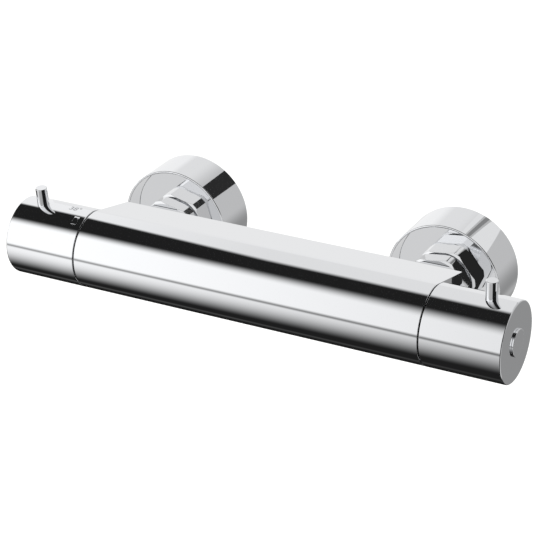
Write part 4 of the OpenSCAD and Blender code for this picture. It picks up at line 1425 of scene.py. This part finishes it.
@dataclass
class WallConnection:
    """One wall connection: the cover, the union in the wall and the union nut."""

    datum: Datum
    side: Side
    hex_turn: float
    hexagon: Hexagon = field(default_factory=Hexagon)
    cover_wall: float = 1.2
    web_front: float = 12.5
    web: float = 1.5
    web_hole: float = 10.73
    bore: float = 7.0
    washer_radius: float = 14.6
    washer: float = 0.5
    neck_radius: float = 12.0
    groove: float = 2.2
    collar_radius: float = 10.48
    collar: float = 3.5
    shank_radius: float = 9.4
    thread_out: float = 2.0
    nut_thread_radius: float = 13.05
    nut_hole_radius: float = 9.75
    nut_web: float = 1.5
    foot_edge: float = 0.25
    web_fillet: float = 1.0
    back_fillet: float = 0.8
    thread_edge: float = 0.4
    soft_edge: float = 0.3
    edge: float = 0.2
    fine_edge: float = 0.1

    @property
    def place(self) -> Place:
        """The frame of the inlet."""
        return self.datum.inlet(self.side)

    def build_cover(self) -> Object:
        """Builds the deep round cover with its rolled rim and its inner web.

        Returns:
            The cover.
        """
        low, high = box_mm(self.side.word + "_cover")
        radius, depth = (high[0] - low[0]) / 2, -low[1]
        inside = radius - self.cover_wall
        back = self.web_front - self.web
        rim = self.cover_wall / 2
        corners = [
            (inside, 0.0, self.foot_edge),
            (radius, 0.0, self.foot_edge),
            (radius, depth, rim),
            (inside, depth, rim),
            (inside, self.web_front, self.web_fillet),
            (self.web_hole, self.web_front, self.soft_edge),
            (self.web_hole, back, self.soft_edge),
            (inside, back, self.back_fillet),
        ]
        shell = turned_shell(corners, closed=True, columns=160).placed(self.place)
        cover = make_piece(self.side.word + "_wall_cover", [shell], CHROME)
        attach(cover, FIXED, "chrome", self.side.word + "_cover")
        return cover

    def swept_hexagon(self, lower: list[Corner], low: float, high: float, upper: list[Corner]) -> Shell:
        """A hexagon with turned parts at both ends, closed round its bore.

        Args:
            lower: Corners of the turned part before the hexagon.
            low: Height of the hexagon's lower face.
            high: Height of the hexagon's upper face.
            upper: Corners of the turned part after it.

        Returns:
            The shell at the inlet.
        """
        shell = swept_shell(
            lambda angle: rounded_section(
                [*lower, *self.hexagon.side(angle, low, high), *upper], closed=True
            ),
            self.hexagon.angles(),
            closed=True,
        )
        turn = math.radians(self.hex_turn)
        spin = np.array(
            [
                [math.cos(turn), -math.sin(turn), 0],
                [math.sin(turn), math.cos(turn), 0],
                [0, 0, 1],
            ]
        )
        return Shell(shell.points @ spin.T, shell.normals @ spin.T, shell.faces).placed(self.place)

    def build_union(self) -> None:
        """Builds the wall union: hexagon, neck and nut thread, and its thread in the wall."""
        word = self.side.word
        low, high = box_mm(word + "_wall_union")
        nut_back = -box_mm(word + "_union_nut")[1][1]
        front, thread_end = -low[1], -high[1]
        hex_low, hex_high = self.web_front + self.washer, nut_back - self.groove
        collar_back = hex_low - self.collar
        shell = self.swept_hexagon(
            [
                (self.bore, self.thread_out, self.edge),
                (self.shank_radius, self.thread_out, self.edge),
                (self.shank_radius, collar_back, self.thread_edge),
                (self.collar_radius, collar_back, self.soft_edge),
                (self.collar_radius, self.web_front, self.fine_edge),
                (self.washer_radius, self.web_front, self.fine_edge),
                (self.washer_radius, hex_low, self.fine_edge),
            ],
            hex_low,
            hex_high,
            [
                (self.neck_radius, hex_high, self.soft_edge),
                (self.neck_radius, nut_back - self.washer, self.edge),
                (self.nut_thread_radius, nut_back - self.washer, self.edge),
                (self.nut_thread_radius, front, self.thread_edge),
                (self.bore, front, self.soft_edge),
            ],
        )
        union = make_piece(word + "_union_hexagon", [shell], PLATED)
        attach(union, FIXED, "plated_brass", word + "_wall_union")
        thread = PipeThread().build(
            word + "_union_thread", self.place, self.bore, thread_end, self.thread_out, PLATED
        )
        attach(thread, FIXED, "plated_brass")

    def build_nut(self) -> None:
        """Builds the union nut that pulls the body onto the wall union."""
        word = self.side.word
        low, high = box_mm(word + "_union_nut")
        front, back = -low[1], -high[1]
        web = front - self.nut_web
        shell = self.swept_hexagon(
            [(self.nut_thread_radius, back, self.thread_edge)],
            back,
            front,
            [
                (self.nut_hole_radius, front, self.edge),
                (self.nut_hole_radius, web, self.edge),
                (self.nut_thread_radius, web, self.soft_edge),
            ],
        )
        nut = make_piece(word + "_union_nut_hexagon", [shell], PLATED)
        attach(nut, FIXED, "plated_brass", word + "_union_nut")

    def build(self) -> None:
        """Builds every visible piece of the connection."""
        self.build_cover().visible_glossy = False
        self.build_union()
        self.build_nut()


# Outlet


@dataclass
class Outlet:
    """The outlet nipple below the bar, with its hose thread."""

    datum: Datum
    nodes: dict[str, Object]
    core_radius: float = 9.2
    core_edge: float = 0.4
    core_inset: float = 0.02
    thread_wall: float = 1.0
    thread_start: float = 0.1
    thread_length: float = 7.5

    def build(self) -> None:
        """Builds the nipple's core with its key socket, and the thread round it."""
        low, high = box_mm("outlet_nipple")
        bottom, top = low[2] + self.core_inset, high[2] - self.core_inset
        corners = [
            (0.0, bottom, 0.0),
            (self.core_radius, bottom, self.core_edge),
            (self.core_radius, top, self.core_edge),
            (0.0, top, 0.0),
        ]
        shell = turned_shell(corners, closed=False, columns=96).placed(self.datum.outlet())
        core = make_piece("outlet_nipple_core", [shell], PLATED)
        join_solids(core, merged_copy(self.nodes["outlet_nipple"], BRASS), Join.BOTH)
        give_skin_normals(core.data, [shell], PLATED)
        attach(core, FIXED, "chrome", "outlet_nipple")
        thread = PipeThread().build(
            "outlet_hose_thread",
            self.datum.outlet(),
            self.core_radius - self.thread_wall,
            low[2] + self.thread_start,
            low[2] + self.thread_length,
            CHROME,
        )
        attach(thread, FIXED, "chrome")


# Inner pieces


@dataclass(frozen=True)
class PushedSpring:
    """A coil spring that a sliding piece pushes shorter while its far end stays where it is."""

    node: str
    body: str
    joint: str
    sharp: float = 60.0

    def build(self, frame: dict[str, object]) -> None:
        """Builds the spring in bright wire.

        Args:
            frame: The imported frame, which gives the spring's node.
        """
        spring = merged_copy(frame["nodes"][self.node], SPRING)
        spring.name = self.node + "_coil"
        mesh = spring.data
        mesh.polygons.foreach_set("use_smooth", [True] * len(mesh.polygons))
        mesh.set_sharp_from_angle(angle=math.radians(self.sharp))
        attach(spring, self.body, "spring_steel", self.node)
        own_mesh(spring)


PUSHED_SPRINGS = (
    PushedSpring("safety_spring", TEMPERATURE, "button_press"),
    PushedSpring("left_check_spring", FIXED, "left_check_lift"),
    PushedSpring("right_check_spring", FIXED, "right_check_lift"),
)


def dress_nodes(nodes: dict[str, Object]) -> None:
    """Gives every node that stays the finish of its material slot.

    Args:
        nodes: The frame's nodes.
    """
    for name, node in nodes.items():
        for holder in node.material_slots:
            slot = holder.material.name.split(".")[0]
            if slot in FINISH_OF_SLOT:
                holder.material = FINISH_OF_SLOT[slot].material()
            else:
                LOG.warning("%s: no finish for slot %s", name, slot)


# Studio


@dataclass(frozen=True)
class Panel:
    """A soft panel that runs along the bar, as polished metal sees it.

    Angles are in degrees round the bar, from straight up towards the front. Shades are shares of
    white as the plate shows them. Each pair holds the value that the bar's left end sees and the
    one that its right end sees.
    """

    name: str
    start: Pair
    start_fade: Pair
    stop: Pair
    stop_fade: Pair
    shade: Pair
    turns_by: float = RIGHT_WAY
    across: Pair | None = None


PANELS = (
    Panel("white_floor", (-122, -122), (12, 12), (-31, -17), (9, 13), (0.92, 0.86), CENTRE_WAY),
    Panel("soft_box", (29, 36), (22, 36), (102, 98), (4, 4), (1.0, 0.89)),
    Panel("front_wall", (100, 97), (4, 4), (145, 128), (66, 74), (0.95, 0.82)),
    Panel("seam", (103, 99.5), (6, 6), (109, 106), (6, 6), (0.6, 0.46)),
    Panel("back_edge", (-171, -171), (6, 6), (-161, -161), (6, 6), (0.26, 0.2)),
    Panel(
        "right_side", (-135, -135), (20, 20), (-30, -30), (30, 30), (0.72, 0.72), across=(-0.2, 0.3)
    ),
    Panel(
        "right_floor", (-140, -140), (20, 20), (-108, -108), (24, 24), (0.54, 0.54), across=(0.0, 0.3)
    ),
    Panel(
        "far_right_wall", (-178, -178), (6, 6), (-130, -130), (16, 16), (0.8, 0.8), across=(0.45, 0.6)
    ),
    Panel(
        "far_right_flag", (-24, -24), (12, 12), (170, 170), (12, 12), (0.1, 0.1), across=(0.42, 0.52)
    ),
)


@dataclass
class Surround:
    """The white studio and its dark flags, as a colour that depends on the way out."""

    tree: NodeTree
    dark: float = 0.115

    def step(self, known: dict[str, Socket], edge: Pair, fade: Pair) -> Socket:
        """Rises softly from zero to one across an edge.

        Args:
            known: The angle round the bar, and the share of the way from its left end.
            edge: The angles at which the step is half way.
            fade: The whole widths of the step.

        Returns:
            The step's height.
        """
        sums = add_formula(
            self.tree,
            known,
            (
                ("edge", "MULTIPLY_ADD", "share", edge[1] - edge[0], edge[0]),
                ("fade", "MULTIPLY_ADD", "share", fade[1] - fade[0], fade[0]),
                ("past", "SUBTRACT", "angle", "edge"),
                ("fades past", "DIVIDE", "past", "fade"),
            ),
        )
        rise = add_node(
            self.tree,
            "ShaderNodeMapRange",
            {"Value": sums["fades past"], "From Min": -0.5, "From Max": 0.5},
            interpolation_type="SMOOTHSTEP",
        )
        return rise.outputs["Result"]

    def lay(self, panel: Panel, known: dict[str, Socket], under: object) -> Socket:
        """Lays a panel over what is there.

        Args:
            panel: The panel.
            known: The angle round the bar and the sideways part of the way out.
            under: The colour under the panel.

        Returns:
            The colour with the panel.
        """
        span = add_node(
            self.tree,
            "ShaderNodeMapRange",
            {"Value": known["across"], "From Min": LEFT_WAY, "From Max": panel.turns_by},
        )
        share = span.outputs["Result"]
        graded = known | {"share": share}
        covers = add_formula(
            self.tree,
            {
                "enters": self.step(graded, panel.start, panel.start_fade),
                "leaves": self.step(graded, panel.stop, panel.stop_fade),
            },
            (("stays", "SUBTRACT", 1.0, "leaves"), ("covers", "MULTIPLY", "enters", "stays")),
        )
        if panel.across is not None:
            side = add_node(
                self.tree,
                "ShaderNodeMapRange",
                {
                    "Value": known["across"],
                    "From Min": panel.across[0],
                    "From Max": panel.across[1],
                },
                interpolation_type="SMOOTHSTEP",
            )
            covers["side"] = side.outputs["Result"]
            covers = add_formula(self.tree, covers, (("covers", "MULTIPLY", "covers", "side"),))
        shades = {0: share, 6: grey(panel.shade[0]), 7: grey(panel.shade[1])}
        shade = add_node(self.tree, "ShaderNodeMix", shades, data_type="RGBA").outputs[2]
        layers = {0: covers["covers"], 6: under, 7: shade}
        return add_node(self.tree, "ShaderNodeMix", layers, data_type="RGBA").outputs[2]

    def colour(self) -> Socket:
        """Lays every panel over the dark studio.

        Returns:
            The colour of the surround.
        """
        way = add_node(self.tree, "ShaderNodeTexCoord").outputs["Generated"]
        part = add_node(self.tree, "ShaderNodeSeparateXYZ", {0: way}).outputs
        known = add_formula(
            self.tree,
            {"across": part["X"], "back": part["Y"], "up": part["Z"]},
            (
                ("front", "MULTIPLY", "back", -1.0),
                ("turn", "ARCTAN2", "front", "up"),
                ("angle", "MULTIPLY", "turn", math.degrees(1)),
            ),
        )
        result: object = grey(self.dark)
        for panel in PANELS:
            result = self.lay(panel, known, result)
        return result


@dataclass(frozen=True)
class Card:
    """A flat card, parallel to the wall, that glows at its own shade to paint a reflection: only
    polished metal sees it, and only from its front, and it lights nothing.

    Its corners are given as X and Z, clockwise for a card that faces the valve's front.
    """

    name: str
    corners: tuple[Pair, ...]
    depth: float
    shade: float

    def build(self) -> None:
        """Hangs the card, whose glow is a painted reflection."""
        mesh = bpy.data.meshes.new(self.name)
        points = [Vector((x, self.depth, z)) * MM for x, z in self.corners]
        mesh.from_pydata(points, [], [tuple(range(len(points)))[::-1]])
        material = bpy.data.materials.new(self.name)
        material.use_nodes = True
        tree = material.node_tree
        tree.nodes.clear()
        # Painted reflection: the card glows at its shade with no lamp on it, and its back is clear
        lit = add_node(
            tree,
            "ShaderNodeEmission",
            {"Color": grey(self.shade), "Strength": WHITE_IN_PLATE},
        )
        clear = add_node(tree, "ShaderNodeBsdfTransparent")
        behind = add_node(tree, "ShaderNodeNewGeometry").outputs["Backfacing"]
        both = add_node(
            tree, "ShaderNodeMixShader", {0: behind, 1: lit.outputs[0], 2: clear.outputs[0]}
        )
        add_node(tree, "ShaderNodeOutputMaterial", {"Surface": both.outputs[0]})
        mesh.materials.append(material)
        card = link_mesh(self.name, mesh)
        card.visible_camera = False
        card.visible_diffuse = False
        card.visible_shadow = False


PAINTED_REFLECTION_CARDS = (
    # Far behind the valve: a dark card whose glow paints the dark band reflected on the left cover
    Card("black_card", ((57, 340), (84, 396), (266, 262), (222, 206)), 450.0, 0.16),
    # In front of it, as the right cover sees it: cards whose glow paints the right cover's reflection,
    # plain light with a soft grey band
    Card("right_light", ((80, 48), (80, 90), (160, 90), (160, 48)), 60.0, 0.86),
    Card("right_band_edge", ((90, 48), (90, 90), (105, 90), (105, 48)), 59.7, 0.7),
    Card("right_band", ((93.5, 48), (93.5, 90), (101, 90), (101, 48)), 59.5, 0.5),
    # Between the bar and the covers: a card whose glow paints plain light into the bar's sloping back,
    # where the covers would be reflected
    Card("top_card", ((-142, 12.6), (-142, 31), (134, 31), (134, 12.6)), -32.9, 0.89),
    # Towards the covers: a card whose glow paints plain light into the reflection on their webs
    Card("back_card", ((134, -40), (134, 12.6), (-142, 12.6), (-142, -40)), -32.9, 0.8),
    # Inside the covers: cards whose glow paints what the hollow walls and the right hexagons reflect
    Card(
        "left_web_card",
        ((-104, -5), (-104, 5), (-98, 18), (-91.5, 24), (-91.5, -24), (-98, -18)),
        -12.4,
        0.78,
    ),
    Card(
        "right_web_card",
        ((46, -5), (46, 5), (52, 18), (58.5, 24), (58.5, -24), (52, -18)),
        -12.4,
        0.78,
    ),
    # A dark card inside the right cover: a painted dark reflection on the pieces round it
    Card(
        "right_web_dark_reflection",
        ((83, -8), (83, 24), (92, 24), (99, 16), (103, 6), (103, -8)),
        -12.4,
        0.14,
    ),
)


@dataclass(frozen=True)
class Studio:
    """The camera, the light and the pale floor, whose sizes and lamps are in metres."""

    camera_mm: tuple[float, float, float] = (394.6, -788.7, 417.3)
    camera_turn: tuple[float, float, float] = (63.606, 1.048, 27.936)
    lens: float = 127.4
    floor_drop: float = 0.75
    floor_size: float = 8.0
    floor_glow: float = 0.35
    soft_light: float = 0.8
    lamp_target: Corner = (0.0, -0.066, 0.0)

    def add_camera(self) -> None:
        """Sets the camera at the photograph's viewing angle."""
        data = bpy.data.cameras.new("camera")
        data.lens = self.lens
        data.sensor_width = 36.0
        data.clip_end = 50.0
        camera = bpy.data.objects.new("camera", data)
        camera.location = Vector(self.camera_mm) * MM
        camera.rotation_euler = [math.radians(angle) for angle in self.camera_turn]
        bpy.context.scene.collection.objects.link(camera)
        bpy.context.scene.camera = camera

    def add_world(self) -> None:
        """Makes the surround: polished metal sees its panels, and all else sees plain white."""
        world = bpy.data.worlds.new("studio")
        bpy.context.scene.world = world
        world.use_nodes = True
        tree = world.node_tree
        tree.nodes.clear()
        panels = Surround(tree).colour()
        seen = add_node(
            tree, "ShaderNodeBackground", {"Color": panels, "Strength": WHITE_IN_PLATE}
        )
        white = add_node(tree, "ShaderNodeBackground", {"Color": (1, 1, 1, 1), "Strength": 1.0})
        soft = add_node(
            tree, "ShaderNodeBackground", {"Color": (1, 1, 1, 1), "Strength": self.soft_light}
        )
        rays = add_node(tree, "ShaderNodeLightPath").outputs
        lit = add_node(
            tree,
            "ShaderNodeMixShader",
            {0: rays["Is Glossy Ray"], 1: soft.outputs[0], 2: seen.outputs[0]},
        )
        bare = add_node(
            tree,
            "ShaderNodeMath",
            {0: rays["Is Camera Ray"], 1: rays["Is Transmission Ray"]},
            operation="MAXIMUM",
        )
        full = add_node(
            tree,
            "ShaderNodeMixShader",
            {0: bare.outputs[0], 1: lit.outputs[0], 2: white.outputs[0]},
        )
        add_node(tree, "ShaderNodeOutputWorld", {"Surface": full.outputs[0]})

    def add_floor(self) -> None:
        """Lays a pale floor far below the valve, clear from underneath."""
        mesh = bpy.data.meshes.new("floor")
        half = self.floor_size / 2
        ways = ((-1, -1), (1, -1), (1, 1), (-1, 1))
        corners = [(x * half, y * half, -self.floor_drop) for x, y in ways]
        mesh.from_pydata(corners, [], [(0, 1, 2, 3)])
        material = bpy.data.materials.new("pale_floor")
        material.use_nodes = True
        tree = material.node_tree
        tree.nodes.clear()
        pale = add_node(tree, "ShaderNodeBsdfDiffuse", {"Color": linear("#F4F4F2")})
        rays = add_node(tree, "ShaderNodeLightPath").outputs
        seen = add_node(
            tree,
            "ShaderNodeMath",
            {0: rays["Is Camera Ray"], 1: rays["Is Glossy Ray"]},
            operation="MAXIMUM",
        )
        lift = add_node(
            tree, "ShaderNodeMath", {0: seen.outputs[0], 1: self.floor_glow}, operation="MULTIPLY"
        )
        glow = add_node(tree, "ShaderNodeEmission", {"Strength": lift.outputs[0]})
        both = add_node(tree, "ShaderNodeAddShader", {0: pale.outputs[0], 1: glow.outputs[0]})
        clear = add_node(tree, "ShaderNodeBsdfTransparent")
        under = add_node(tree, "ShaderNodeNewGeometry").outputs["Backfacing"]
        surface = add_node(
            tree, "ShaderNodeMixShader", {0: under, 1: both.outputs[0], 2: clear.outputs[0]}
        )
        add_node(tree, "ShaderNodeOutputMaterial", {"Surface": surface.outputs[0]})
        mesh.materials.append(material)
        floor = link_mesh("floor", mesh)
        floor.visible_glossy = False

    def add_lamps(self) -> None:
        """Hangs two plain soft lamps over the valve."""
        for name, spot, size, power in (
            ("key_lamp", (-0.6, -0.9, 1.3), 0.9, 14.0),
            ("fill_lamp", (0.9, -0.3, 1.0), 0.9, 7.0),
        ):
            data = bpy.data.lights.new(name, "AREA")
            data.size = size
            data.energy = power
            lamp = bpy.data.objects.new(name, data)
            lamp.location = spot
            aim = Vector(self.lamp_target) - Vector(spot)
            lamp.rotation_euler = aim.to_track_quat("-Z", "Y").to_euler()
            lamp.visible_glossy = False
            bpy.context.scene.collection.objects.link(lamp)

    def build(self) -> None:
        """Sets up the whole studio."""
        self.add_camera()
        self.add_world()
        self.add_floor()
        # Glowing cards that paint reflections on the polished metal
        for card in PAINTED_REFLECTION_CARDS:
            card.build()
        self.add_lamps()
        bpy.context.scene.view_settings.view_transform = "Standard"


def main() -> None:
    """Builds the valve's looks round its frame."""
    logging.basicConfig(level=logging.INFO, format="%(name)s: %(message)s")
    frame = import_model()
    nodes = frame["nodes"]
    datum = Datum.from_frame()
    Studio().build()
    dress_nodes(nodes)
    Bar(datum, nodes).build()
    TemperatureHandle(datum, nodes, Side.LEFT, TEMPERATURE, "temperature", -6.0).build()
    Handle(datum, nodes, Side.RIGHT, FLOW, "flow", 2.0).build()
    WallConnection(datum, Side.LEFT, 46.0).build()
    WallConnection(datum, Side.RIGHT, 7.5).build()
    Outlet(datum, nodes).build()
    for spring in PUSHED_SPRINGS:
        spring.build(frame)


if __name__ == "__main__":
    main()
